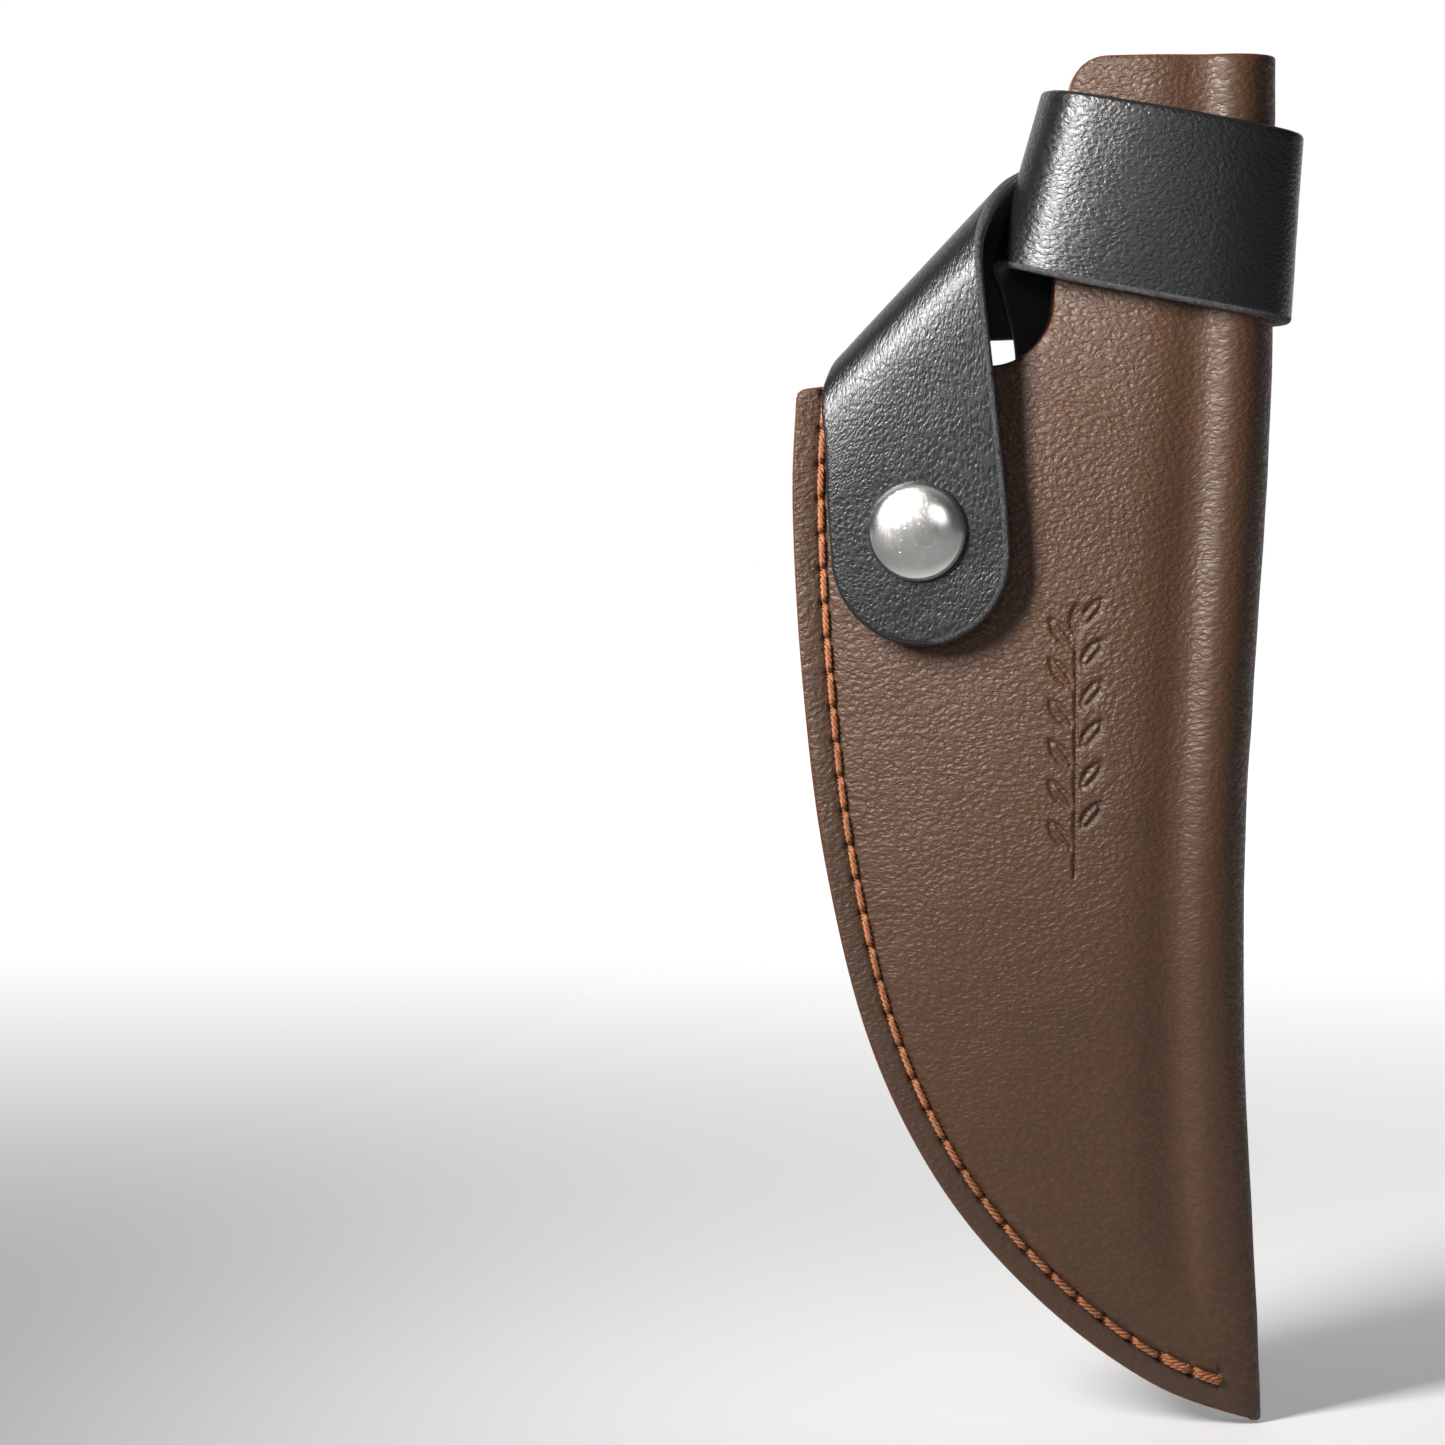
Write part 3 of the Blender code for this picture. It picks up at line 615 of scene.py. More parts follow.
def fold_edge(crest, radius, run, turn):
    """A point on one edge of the fold, turned from the back (0) over the crest (90) to the front (180)."""
    along = (Vector(CREST_UPPER) - Vector(CREST_LOWER)).normalized()
    outwards = Vector((-along.y, along.x))
    centre = Vector(crest) - outwards * radius
    front = centre - along * run
    front_end = tail_plane_y(front.x, front.y)
    angle = math.radians(turn)
    rise = math.sin(angle) ** FOLD_SQUARENESS
    swing = math.copysign(abs(math.cos(angle)) ** FOLD_SQUARENESS, 90 - turn)
    flat = centre + along * run * (1 - turn / 90) + outwards * radius * rise
    return flat.x, (FOLD_BACK + front_end) / 2 + (FOLD_BACK - front_end) / 2 * swing, flat.y


def strap_edges():
    stations = [(*upper, *lower) for upper, lower in WRAP_EDGES]
    for turn in FOLD_TURNS:
        upper, lower = (
            fold_edge(crest, radius, run, turn)
            for crest, radius, run in zip((CREST_UPPER, CREST_LOWER), FOLD_RADII, FOLD_RUNS)
        )
        stations.append((*upper, *lower))
    reach = TAIL_RIGHT * STRAP_HALF_WIDTH
    for rise in TAIL_RISES:
        middle = TAIL_END - TAIL_DOWN * rise
        stations.append((*(middle + reach), *(middle - reach)))
    return stations


def strip_uv(points, rows, columns):
    """Flat coordinates for a strip, in metres: across it, and along its middle."""
    sheet = points.reshape(rows, columns, 3)
    run = run_along(sheet[:, columns // 2])
    across = np.linalg.norm(np.diff(sheet, axis=1), axis=2)
    sideways = np.hstack([np.zeros((rows, 1)), np.cumsum(across, axis=1)])
    sideways -= sideways[:, columns // 2][:, None]
    return np.column_stack([sideways.ravel(), np.repeat(run, columns)]) * MM


def strap_piece(name, sheet, inset, shares, node_name, raw_right, body):
    """A stretch of strap from its middle surface; edges rounded where inset falls to nothing."""
    rows, columns = inset.shape
    points, inset = sheet.reshape(-1, 3), inset.ravel()
    half = rounded(inset, LEATHER / 2, STRAP_EDGE_RADIUS)
    uneven = 0.1 * waviness(points, 11, 5) + 0.05 * waviness(points, 4, 2)
    raw = np.tile(smoothstep(shares if raw_right else 1 - shares, 0.5, 0.6), rows)
    strap = shell(
        name,
        points,
        grid_normals(points, rows, columns),
        half + np.minimum(uneven, 0) * smoothstep(inset, 0, 2),
        half,
        grid_faces(rows, columns),
        strip_uv(points, rows, columns),
        {"inset": np.minimum(inset, FAR), "raw": raw},
    )
    stand_in(strap, node_name, BLACK_SIDES, body)
    return strap


def build_strap():
    stations = smooth_through(strap_edges(), STRAP_STEPS)
    shares = edge_steps(2 * STRAP_HALF_WIDTH)
    low, high = stations[:, None, 3:], stations[:, None, :3]
    sheet = low + (high - low) * shares[None, :, None]
    width = np.linalg.norm(stations[:, :3] - stations[:, 3:], axis=1)[:, None]
    inset = np.minimum(shares, 1 - shares)[None] * width
    from_root = run_along(sheet[:, len(shares) // 2])[:, None]
    inset = np.minimum(inset, from_root + np.where(from_root > 3, 9, 0))
    meet = MEETING * STRAP_STEPS
    strap_piece("strap_wrap", sheet[: meet + 1], inset[: meet + 1], shares, "strap_band", False, "sheath")
    steps = np.linspace(0, 1, STRAP_END_ROWS + 1)[1:] ** 0.8
    across = shares * 2 - 1
    down = steps[:, None] * np.sqrt(1 - across[None] ** 2 / 2)
    right = across[None] * np.sqrt(1 - steps[:, None] ** 2 / 2)
    turned = down[..., None] * np.array(TAIL_DOWN) + right[..., None] * np.array(TAIL_RIGHT)
    end = np.array(TAIL_END) + turned * STRAP_HALF_WIDTH
    end_inset = (1 - np.hypot(down, right)) * STRAP_HALF_WIDTH
    tail = np.concatenate([sheet[meet:], end])
    tail_inset = np.concatenate([inset[meet:], end_inset])
    fold = strap_piece("strap_fold", tail, tail_inset, shares, "strap_tail", True, None)
    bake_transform(fold)


BEND_REACH = 1.6
LOOP_CORNER = 3.0
PLAIN_GRAIN = 0.7


def loop_profile():
    """(y, z) of the middle of the belt loop's leather, from its top end to its foot."""
    half = LOOP_LEATHER / 2
    on_strap = BACK_FACE + GAP + LEATHER + GAP + half
    on_back = BACK_FACE + GAP + half
    bridge = BACK_FACE + GAP + CHANNEL_DEPTH + half
    on_the_strap = [
        (on_strap, RIVET_TOP_Z + 7.5),
        (on_strap, RIVET_TOP_Z),
        (on_strap, CHANNEL_HIGH + 5.5),
        (on_strap + 0.5, CHANNEL_HIGH + 3.2),
    ]
    over_the_belt = [
        (bridge - 0.6, CHANNEL_HIGH),
        (bridge, CHANNEL_HIGH - 3),
        (bridge, (CHANNEL_HIGH + CHANNEL_LOW) / 2),
        (bridge, CHANNEL_LOW + 3),
        (bridge - 0.7, CHANNEL_LOW + 0.2),
    ]
    on_the_back = [
        (on_back + 2.4, CHANNEL_LOW - 2.4),
        (on_back + 0.4, CHANNEL_LOW - 4.4),
        (on_back, CHANNEL_LOW - 6.5),
        (on_back, RIVET_LOW_Z),
        (on_back, RIVET_LOW_Z - 7.5),
    ]
    return np.array(on_the_strap + over_the_belt + on_the_back)


def build_belt_loop():
    profile = loop_profile()
    length = run_along(profile)[-1]
    run = edge_steps(length, pitch=0.8) * length
    line = along_curve(round_corners(profile, BEND_REACH, 0.5, 8), run)
    shares = edge_steps(2 * LOOP_HALF_WIDTH, pitch=0.9)
    rows, columns = len(line), len(shares)
    x = np.tile(LOOP_X + LOOP_HALF_WIDTH * (1 - 2 * shares), rows)
    points = np.column_stack([x, np.repeat(line, columns, axis=0)])
    across = np.tile(np.minimum(shares, 1 - shares) * 2 * LOOP_HALF_WIDTH, rows)
    down = np.repeat(np.minimum(run, length - run), columns)
    in_corner = (across < LOOP_CORNER) & (down < LOOP_CORNER)
    from_centre = np.hypot(LOOP_CORNER - across, LOOP_CORNER - down)
    inset = np.where(in_corner, LOOP_CORNER - from_centre, np.minimum(across, down))
    pull = np.where(in_corner & (inset < 0), inset, 0)
    sideways = np.sign(x - LOOP_X) * (LOOP_CORNER - across)
    upwards = np.where(np.repeat(run, columns) < length / 2, 1, -1) * (LOOP_CORNER - down)
    toward = np.column_stack([sideways, np.zeros(len(x)), upwards])
    normals = grid_normals(points, rows, columns)
    points = points + toward / np.maximum(from_centre, 1e-6)[:, None] * pull[:, None]
    half = rounded(np.maximum(inset, 0), LOOP_LEATHER / 2, 0.7)
    uv = strip_uv(points, rows, columns)
    faces = grid_faces(rows, columns)
    loop = shell("belt_loop_leather", points, normals, half, half, faces, uv, plain_attributes(inset))
    stand_in(loop, "belt_loop", BROWN_SIDES)


def plain_attributes(inset):
    """The leather material's attributes for a piece with no seam of its own."""
    none = np.zeros(len(inset))
    return {"inset": np.minimum(inset, FAR), "hole": none + FAR, "margin": none, "grain": none + PLAIN_GRAIN}


def build_welt_strip():
    outer = along_curve(offset_inwards(BELLY_CURVE, 0.15), np.linspace(0.5, 196, 260))
    inward = offset_inwards(outer, 1.0) - outer
    keep = outer[:, 0] < spine_x(outer[:, 1]) - 5
    outer, inward = outer[keep], inward[keep]
    width = WELT_WIDTH - 0.8
    shares = edge_steps(width, (0.0, 0.12, 0.35, 0.7))
    rows, columns = len(outer), len(shares)
    flat = outer[:, None] + inward[:, None] * (shares * width)[None, :, None]
    middle = BACK_FACE - SEAM_STACK / 2
    points = np.column_stack([flat[..., 0].ravel(), np.full(rows * columns, middle), flat[..., 1].ravel()])
    inset = np.tile(np.minimum(shares, 1 - shares) * width, rows)
    half = rounded(inset, WELT / 2, 0.35)
    normals = np.tile((0.0, -1.0, 0.0), (rows * columns, 1))
    uv = strip_uv(points, rows, columns)
    strip = shell("welt_strip", points, normals, half, half, grid_faces(rows, columns), uv, {"inset": inset})
    stand_in(strip, "welt", [WELT_EDGE] * 3)


# ---- stitching

THREAD_LIE = 0.34
THREAD_SINK = 1.5
THREAD_DIP = 1.02
STITCH_ARCH = 0.16
DOUBLED_ASIDE = 0.55
DOUBLED_HEIGHT = 0.35
STRAND_RADIUS = 0.26
STRAND_OFFSET = 0.3
STRAND_TWIST = 3.0
STRAND_START = 0.7
STRAND_SIDES = 8
STRAND_STEP = 0.22
BACK_STITCHES = 2


def thread_path(outwards, surface):
    """Points, in order, along one face of the lock stitch. In front, the last stitches are sewn twice."""
    total = STITCH_PITCH * STITCH_COUNT
    run = np.arange(0, total, STRAND_STEP)
    again = np.zeros(len(run))
    if outwards < 0:
        doubled = np.arange(STITCH_PITCH * BACK_STITCHES, 0, -STRAND_STEP)
        run = np.concatenate([doubled, run])
        again = np.concatenate([np.ones(len(doubled)), again])
    start = total - run
    flat, before, after = (along_curve(STITCH_CURVE, STITCH_START + start + step) for step in (0, -0.2, 0.2))
    ahead = unit(after - before)
    flat = flat + np.column_stack([-ahead[:, 1], ahead[:, 0]]) * (again * DOUBLED_ASIDE)[:, None]
    phase = np.mod(start, STITCH_PITCH)
    from_hole = np.minimum(phase, STITCH_PITCH - phase)
    dip = THREAD_SINK * np.exp(-((from_hole / THREAD_DIP) ** 4) * 2.2)
    height = THREAD_LIE + STITCH_ARCH * np.sin(math.pi * phase / STITCH_PITCH) + again * DOUBLED_HEIGHT - dip
    return np.column_stack([flat[:, 0], surface + outwards * height, flat[:, 1]])


def twisted_strands(path):
    """Three round strands twisted round the path."""
    along = unit(np.gradient(path, axis=0))
    side = unit(np.cross(along, (0.0, 1.0, 0.0)))
    up = np.cross(side, along)
    run = run_along(path)
    points, faces = [], []
    ring = np.arange(STRAND_SIDES) * 2 * math.pi / STRAND_SIDES
    wave = np.cos(ring)[None, :, None] * side[:, None] + np.sin(ring)[None, :, None] * up[:, None]
    count = len(path) * STRAND_SIDES
    for strand in range(3):
        turn = 2 * math.pi * (run / STRAND_TWIST + strand / 3) + STRAND_START
        centre = path + STRAND_OFFSET * (np.cos(turn)[:, None] * side + np.sin(turn)[:, None] * up)
        points.append((centre[:, None] + STRAND_RADIUS * wave).reshape(-1, 3))
        index = np.arange(strand * count, (strand + 1) * count).reshape(len(path), STRAND_SIDES)
        beside = np.roll(index, -1, axis=1)
        corners = (index[:-1], beside[:-1], beside[1:], index[1:])
        faces += list(zip(*(corner.ravel().tolist() for corner in corners)))
        faces += [tuple(index[0][::-1].tolist()), tuple(index[-1].tolist())]
    return np.vstack(points), faces


def build_stitching(name, node_name, surface, outwards):
    points, faces = twisted_strands(thread_path(outwards, surface))
    thread = new_piece(name, points, faces, fix_normals=True)
    stand_in(thread, node_name, [THREAD_WAX])


# ---- metal

TURNED_STEPS = 72


def soften(profile, radius):
    return round_corners(profile, radius, 0.45, 4)


def build_turned(name, node_name, profile, seat, axis, body="sheath", slot="nickel"):
    """A piece turned about its axis from (radius, height) points that start and end on it."""
    angles = np.arange(TURNED_STEPS) * 2 * math.pi / TURNED_STEPS
    turn = (-axis).to_track_quat("Y", "Z").to_matrix() @ Matrix.Rotation(math.pi / 2, 3, "X")
    points, rings, faces = [], [], []
    for radius, height in profile:
        if radius < 1e-6:
            rings.append([len(points)] * TURNED_STEPS)
            points.append(seat + axis * height)
            continue
        rings.append(list(range(len(points), len(points) + TURNED_STEPS)))
        for angle in angles:
            flat = turn @ Vector((radius * math.cos(angle), radius * math.sin(angle), 0))
            points.append(seat + flat + axis * height)
    for low, high in zip(rings[:-1], rings[1:]):
        for i in range(TURNED_STEPS):
            j = (i + 1) % TURNED_STEPS
            face = list(dict.fromkeys((low[i], low[j], high[j], high[i])))
            if len(face) > 2:
                faces.append(face)
    made = new_piece(name, points, faces, fix_normals=True)
    surface = STEEL if slot == "spring_steel" else NICKEL
    stand_in(made, node_name, [surface], body)


def snap_cap_profile():
    top = STRAP_LIFT + LEATHER
    turns = np.radians(np.linspace(0, 82, 22))
    dome = [(7.55 * math.sin(a), top + 0.75 + 2.35 * math.cos(a) ** 0.9) for a in turns]
    rim = [(7.72, top + 0.86), (7.8, top + 0.66), (7.74, top + 0.42), (7.5, top + GAP)]
    shank = [(2.0, top + GAP), (2.0, STRAP_LIFT - 0.4), (0, STRAP_LIFT - 0.4)]
    return [(0, dome[0][1]), *dome[1:], *rim, *shank]


def snap_socket_profile():
    lift = STRAP_LIFT
    plate = [(0, lift - 0.7), (2.3, lift - 0.7), (2.3, lift - GAP), (5.0, lift - GAP), (6.2, lift - 0.8)]
    cup = [(6.2, 1.2), (4.6, 1.2), (4.6, 1.6), (5.3, 1.8), (5.3, 2.45), (4.2, 2.65), (0, 2.65)]
    return soften(plate + cup, 0.25)


def snap_stud_profile():
    button = [(0, 2.35), (2.4, 2.3), (3.1, 1.9), (3.1, 1.5), (2.5, 1.2), (2.6, 0.9), (5.0, 0.75)]
    return soften([*button, (5.0, GAP), (1.7, GAP), (1.7, 1.4), (0, 1.4)], 0.25)


def snap_post_profile():
    inside = -LEATHER - GAP
    post = [(0, 1.1), (1.3, 1.1), (1.3, inside), (4.8, inside), (4.6, inside - 0.6), (0, inside - 0.7)]
    return soften(post, 0.2)


def snap_spring_profile():
    turns = np.linspace(0, 2 * math.pi, 13)
    return [(4.6 + 0.28 * math.cos(a), 2.1 + 0.28 * math.sin(a)) for a in turns]


def build_snap():
    parts = (
        ("snap_cap_dome", "snap_cap", snap_cap_profile(), "strap_end", "nickel"),
        ("snap_socket_cup", "snap_socket", snap_socket_profile(), "strap_end", "nickel"),
        ("snap_spring_ring", "snap_spring", snap_spring_profile(), "strap_end", "spring_steel"),
        ("snap_stud_button", "snap_stud", snap_stud_profile(), "sheath", "nickel"),
        ("snap_post_foot", "snap_post", snap_post_profile(), "sheath", "nickel"),
    )
    for name, node_name, profile, body, slot in parts:
        build_turned(name, node_name, profile, SNAP_SEAT, SNAP_AXIS, body, slot)


def build_rivets():
    inner_face = BACK_FACE - LEATHER
    for level, z, strap_stack in (("upper", RIVET_TOP_Z, LEATHER + GAP), ("lower", RIVET_LOW_Z, 0.0)):
        outside = BACK_FACE + GAP + strap_stack + LOOP_LEATHER
        reach = outside - inner_face + 0.7
        cap = [(0, 1.9), (1.2, 1.86), (2.2, 1.74), (3.2, 1.5), (3.9, 1.2), (4.35, 0.95), (4.6, 0.66)]
        cap += [(4.6, GAP), (1.75, GAP), (1.75, 1.0), (0, 1.0)]
        post = [(0, reach), (1.35, reach), (1.35, -GAP), (3.9, -GAP), (3.7, -0.8), (0, -0.85)]
        for side, x in (("left", LOOP_X - RIVET_SPREAD), ("right", LOOP_X + RIVET_SPREAD)):
            where, axis = f"{level}_{side}", Vector((0, 1, 0))
            head, foot = Vector((x, outside, z)), Vector((x, inner_face, z))
            build_turned(f"rivet_dome_{where}", f"rivet_cap_{where}", soften(cap, 0.2), head, axis)
            build_turned(f"rivet_shank_{where}", f"rivet_post_{where}", soften(post, 0.2), foot, axis)


# ---- materials


def new_material(name):
    made = bpy.data.materials.new(name)
    made.use_nodes = True
    return made, made.node_tree


def join(socket, value):
    """Sets a socket to a value, or links it to another node's socket."""
    if isinstance(value, bpy.types.NodeSocket):
        socket.id_data.links.new(value, socket)
    elif socket.type == "RGBA":
        socket.default_value = (*value, 1.0)
    else:
        socket.default_value = value


def set_inputs(made, **values):
    """Joins a node's inputs by name, with _ for a space."""
    for name, value in values.items():
        join(made.inputs[name.replace("_", " ")], value)


def finish(made, tone, rough, **levels):
    """Sets a material's shader, and returns the material."""
    set_inputs(made.node_tree.nodes["Principled BSDF"], Base_Color=tone, Roughness=rough, **levels)
    return made


def node(tree, kind, **settings):
    made = tree.nodes.new(kind)
    for key, value in settings.items():
        setattr(made, key, value)
    return made


def math_node(tree, operation, *values):
    made = node(tree, "ShaderNodeMath", operation=operation)
    for socket, value in zip(made.inputs, values):
        join(socket, value)
    return made.outputs[0]


def ramp(tree, value, stops):
    made = node(tree, "ShaderNodeValToRGB")
    tree.links.new(value, made.inputs[0])
    elements = made.color_ramp.elements
    while len(elements) < len(stops):
        elements.new(0.5)
    for element, (place, colour) in zip(elements, stops):
        element.position = place
        element.color = (*colour, 1.0) if isinstance(colour, tuple) else (colour, colour, colour, 1.0)
    return made.outputs[0]


def mix_colour(tree, factor, a, b):
    made = node(tree, "ShaderNodeMix", data_type="RGBA")
    for index, value in ((0, factor), (6, a), (7, b)):
        join(made.inputs[index], value)
    return made.outputs[2]


def times(tree, a, b):
    return math_node(tree, "MULTIPLY", a, b)


def plus(tree, a, b):
    return math_node(tree, "ADD", a, b)


def mixture(tree, a, b, share):
    return plus(tree, times(tree, a, share), times(tree, b, 1 - share))


def map_range(tree, value, low, high, to_low=0.0, to_high=1.0):
    made = node(tree, "ShaderNodeMapRange", interpolation_type="SMOOTHSTEP")
    set_inputs(made, Value=value, From_Min=low, From_Max=high, To_Min=to_low, To_Max=to_high)
    return made.outputs[0]


def mapped(tree, vector, rotation, scale):
    made = node(tree, "ShaderNodeMapping")
    set_inputs(made, Vector=vector, Rotation=rotation, Scale=scale)
    return made.outputs[0]


def object_place(tree):
    return node(tree, "ShaderNodeTexCoord").outputs["Object"]


def flat_place(tree):
    return node(tree, "ShaderNodeUVMap", uv_map="UVMap").outputs[0]


def attribute(tree, name):
    return node(tree, "ShaderNodeAttribute", attribute_name=name).outputs["Fac"]


def noise_texture(tree, vector, scale, detail=4.0, roughness=0.5, distortion=0.0, output="Fac"):
    made = node(tree, "ShaderNodeTexNoise")
    set_inputs(made, Vector=vector, Scale=scale, Detail=detail, Roughness=roughness, Distortion=distortion)
    return made.outputs[output]


def cells(tree, vector, size):
    """Soft Voronoi cells about size metres across."""
    made = node(tree, "ShaderNodeTexVoronoi", feature="SMOOTH_F1")
    set_inputs(made, Vector=vector, Scale=1 / size, Smoothness=0.2)
    return made.outputs["Distance"]


def vector_node(tree, operation, a, b):
    made = node(tree, "ShaderNodeVectorMath", operation=operation)
    join(made.inputs[0], a)
    join(made.inputs[1], b)
    return made.outputs[0]


def wander(tree, vector, size, amount):
    """The coordinates pushed about by noise of the given size, in metres."""
    colour = noise_texture(tree, vector, 1 / size, 2.0, output="Color")
    centred = vector_node(tree, "SUBTRACT", colour, (0.5, 0.5, 0.5))
    moved = node(tree, "ShaderNodeVectorMath", operation="SCALE")
    join(moved.inputs[0], centred)
    set_inputs(moved, Scale=amount)
    return vector_node(tree, "ADD", vector, moved.outputs[0])


def grain_coordinates(tree, stretch, turn, size):
    """The piece's own flat coordinates, and the same turned, stretched and bent for its grain."""
    flat = flat_place(tree)
    stretched = mapped(tree, wander(tree, flat, 0.02, 0.006), (0.0, 0.0, turn), stretch)
    return wander(tree, stretched, size * 1.2, size * 0.8), flat


def pebbles(tree, vector, size):
    """Leather grain as a height from 0 to 1: soft pebbles of two sizes with finer creasing."""
    large = ramp(tree, cells(tree, vector, size), ((0.1, 1.0), (0.35, 0.75), (0.62, 0.0)))
    small = ramp(tree, cells(tree, vector, size * 0.52), ((0.1, 1.0), (0.65, 0.0)))
    fine = noise_texture(tree, vector, 1 / (size * 0.3), 5.0, 0.6)
    height = plus(tree, times(tree, large, 0.52), times(tree, small, 0.26))
    return plus(tree, height, times(tree, fine, 0.26))


def bump(tree, height, distance, strength=1.0, **under):
    made = node(tree, "ShaderNodeBump")
    set_inputs(made, Height=height, Distance=distance, Strength=strength, **under)
    return made.outputs[0]


BROWN_GRAIN = 0.00095
BLACK_GRAIN = 0.00078


def brown_leather():
    made, tree = new_material("brown_grain")
    vector, flat = grain_coordinates(tree, (0.85, 1.2, 1.0), 0.5, BROWN_GRAIN)
    grain = pebbles(tree, vector, BROWN_GRAIN)
    broad = noise_texture(tree, flat, 26, 3.0, 0.55)
    mottled = noise_texture(tree, flat, 150, 4.0, 0.6)
    tone = mix_colour(tree, broad, (0.055, 0.0215, 0.0078), (0.082, 0.036, 0.0145))
    tone = mix_colour(tree, ramp(tree, mottled, ((0.35, 0.0), (0.75, 0.3))), tone, (0.045, 0.021, 0.01))
    # Painted shade: the leather is darkened in the low creases between the grain's pebbles.
    grain_crease_shade = ramp(tree, grain, ((0.3, 1.0), (0.6, 0.0)))
    tone = mix_colour(tree, times(tree, grain_crease_shade, 0.4), tone, (0.03, 0.013, 0.006))
    # Painted shade: the leather goes near black in and round each stitch hole, where the hole lies in shade.
    hole = ramp(tree, times(tree, attribute(tree, "hole"), 0.5), ((0.3, 1.0), (0.62, 0.0)))
    tone = mix_colour(tree, hole, tone, (0.01, 0.004, 0.002))
    margin = times(tree, attribute(tree, "margin"), 0.6)
    tone = mix_colour(tree, margin, tone, (0.045, 0.023, 0.013))
    burnt = ramp(tree, attribute(tree, "inset"), ((0.0, 0.9), (0.9, 0.0)))
    tone = mix_colour(tree, burnt, tone, (0.075, 0.022, 0.008))
    rough = ramp(tree, grain, ((0.25, 0.58), (0.8, 0.38)))
    lines = mapped(tree, flat, (0.0, 0.0, 0.25), (0.3, 1.5, 1.0))
    wrinkled = noise_texture(tree, wander(tree, lines, 0.01, 0.01), 160, 4.0, 0.65)
    wrinkles = bump(tree, wrinkled, 0.0005, 0.35)
    normal = bump(tree, grain, 0.00024, attribute(tree, "grain"), Normal=wrinkles)
    return finish(made, tone, rough, Normal=normal, Specular_IOR_Level=0.45)


def strap_fibres(tree):
    """Loose fibres of the strap's raw edge: their height, and the same with more contrast."""
    fibres = noise_texture(tree, object_place(tree), 1700, 6.0, 0.8, 0.5)
    return fibres, ramp(tree, fibres, ((0.35, 0.0), (0.7, 1.0)))


def black_leather():
    made, tree = new_material("black_grain")
    vector, flat = grain_coordinates(tree, (1.15, 0.85, 1.0), 0.35, BLACK_GRAIN)
    grain = pebbles(tree, vector, BLACK_GRAIN)
    broad = noise_texture(tree, flat, 40, 3.0)
    tone = mix_colour(tree, broad, (0.004, 0.004, 0.0045), (0.008, 0.008, 0.0085))
    # Painted shade: the black leather is darkened in the low creases between the grain's pebbles.
    grain_crease_shade = ramp(tree, grain, ((0.3, 1.0), (0.6, 0.0)))
    tone = mix_colour(tree, times(tree, grain_crease_shade, 0.5), tone, (0.003, 0.003, 0.0035))
    fibres, lit = strap_fibres(tree)
    depth = times(tree, attribute(tree, "inset"), 0.5)
    ragged = plus(tree, depth, times(tree, fibres, 0.45))
    near_edge = ramp(tree, ragged, ((0.66, 1.0), (0.71, 0.0)))
    raw = times(tree, near_edge, attribute(tree, "raw"))
    tone = mix_colour(tree, raw, tone, mix_colour(tree, lit, (0.01, 0.01, 0.011), (0.12, 0.12, 0.122)))
    rough = ramp(tree, grain, ((0.2, 0.4), (0.85, 0.26)))
    rough = math_node(tree, "MAXIMUM", rough, times(tree, raw, 0.85))
    normal = bump(tree, fibres, 0.0004, raw, Normal=bump(tree, grain, 0.00009, 0.8))
    return finish(made, tone, rough, Normal=normal)


def black_edge():
    """The strap's cut edge: grey-black fibres on its raw side, smooth and inked elsewhere."""
    made, tree = new_material("black_cut_edge")
    fibres, lit = strap_fibres(tree)
    raw = attribute(tree, "raw")
    tone = mix_colour(tree, lit, (0.006, 0.006, 0.007), (0.07, 0.07, 0.072))
    tone = mix_colour(tree, raw, (0.009, 0.009, 0.01), tone)
    return finish(made, tone, 0.7, Normal=bump(tree, fibres, 0.0004, raw))


def flesh_side(name, dark, light):
    made, tree = new_material(name)
    nap = noise_texture(tree, flat_place(tree), 900, 6.0, 0.7)
    broad = noise_texture(tree, flat_place(tree), 90, 3.0)
    tone = mix_colour(tree, mixture(tree, nap, broad, 0.7), dark, light)
    nap_bump = bump(tree, nap, 0.00025, 0.9)
    return finish(made, tone, 0.92, Normal=nap_bump, Sheen_Weight=0.25, Sheen_Roughness=0.5)


def cut_edge(name, dark, light):
    """A raw cut edge: layered fibres along the leather's thickness."""
    made, tree = new_material(name)
    fibres = noise_texture(tree, object_place(tree), 1500, 6.0, 0.75, 0.4)
    layers = noise_texture(tree, object_place(tree), 240, 3.0)
    lit = ramp(tree, mixture(tree, fibres, layers, 0.6), ((0.3, 0.0), (0.7, 1.0)))
    tone = mix_colour(tree, lit, dark, light)
    return finish(made, tone, 0.8, Normal=bump(tree, fibres, 0.0003, 0.9))


def metal(name, tint, roughness):
    """Plated steel with fine scratches, small pits and slightly cloudy patches."""
    made, tree = new_material(name)
    source = object_place(tree)
    cloud = noise_texture(tree, source, 420, 4.0, 0.6)
    scratched = mapped(tree, source, (0.3, 0.8, 0.2), (1.0, 1.0, 0.06))
    scratches = noise_texture(tree, scratched, 5200, 3.0, 0.7)
    pits = noise_texture(tree, source, 2600, 2.0, 0.5)
    pit = ramp(tree, pits, ((0.66, 0.0), (0.74, 1.0)))
    tone = mix_colour(tree, cloud, tint, tuple(min(1.0, c * 1.18) for c in tint))
    tone = mix_colour(tree, times(tree, pit, 0.5), tone, tuple(c * 0.4 for c in tint))
    uneven = plus(tree, times(tree, scratches, 0.16), times(tree, cloud, 0.14))
    rough = plus(tree, uneven, roughness - 0.15)
    normal = bump(tree, pit, 0.00003, 0.6, Normal=bump(tree, scratches, 0.00002, 0.5))
    return finish(made, tone, rough, Normal=normal, Metallic=1.0)


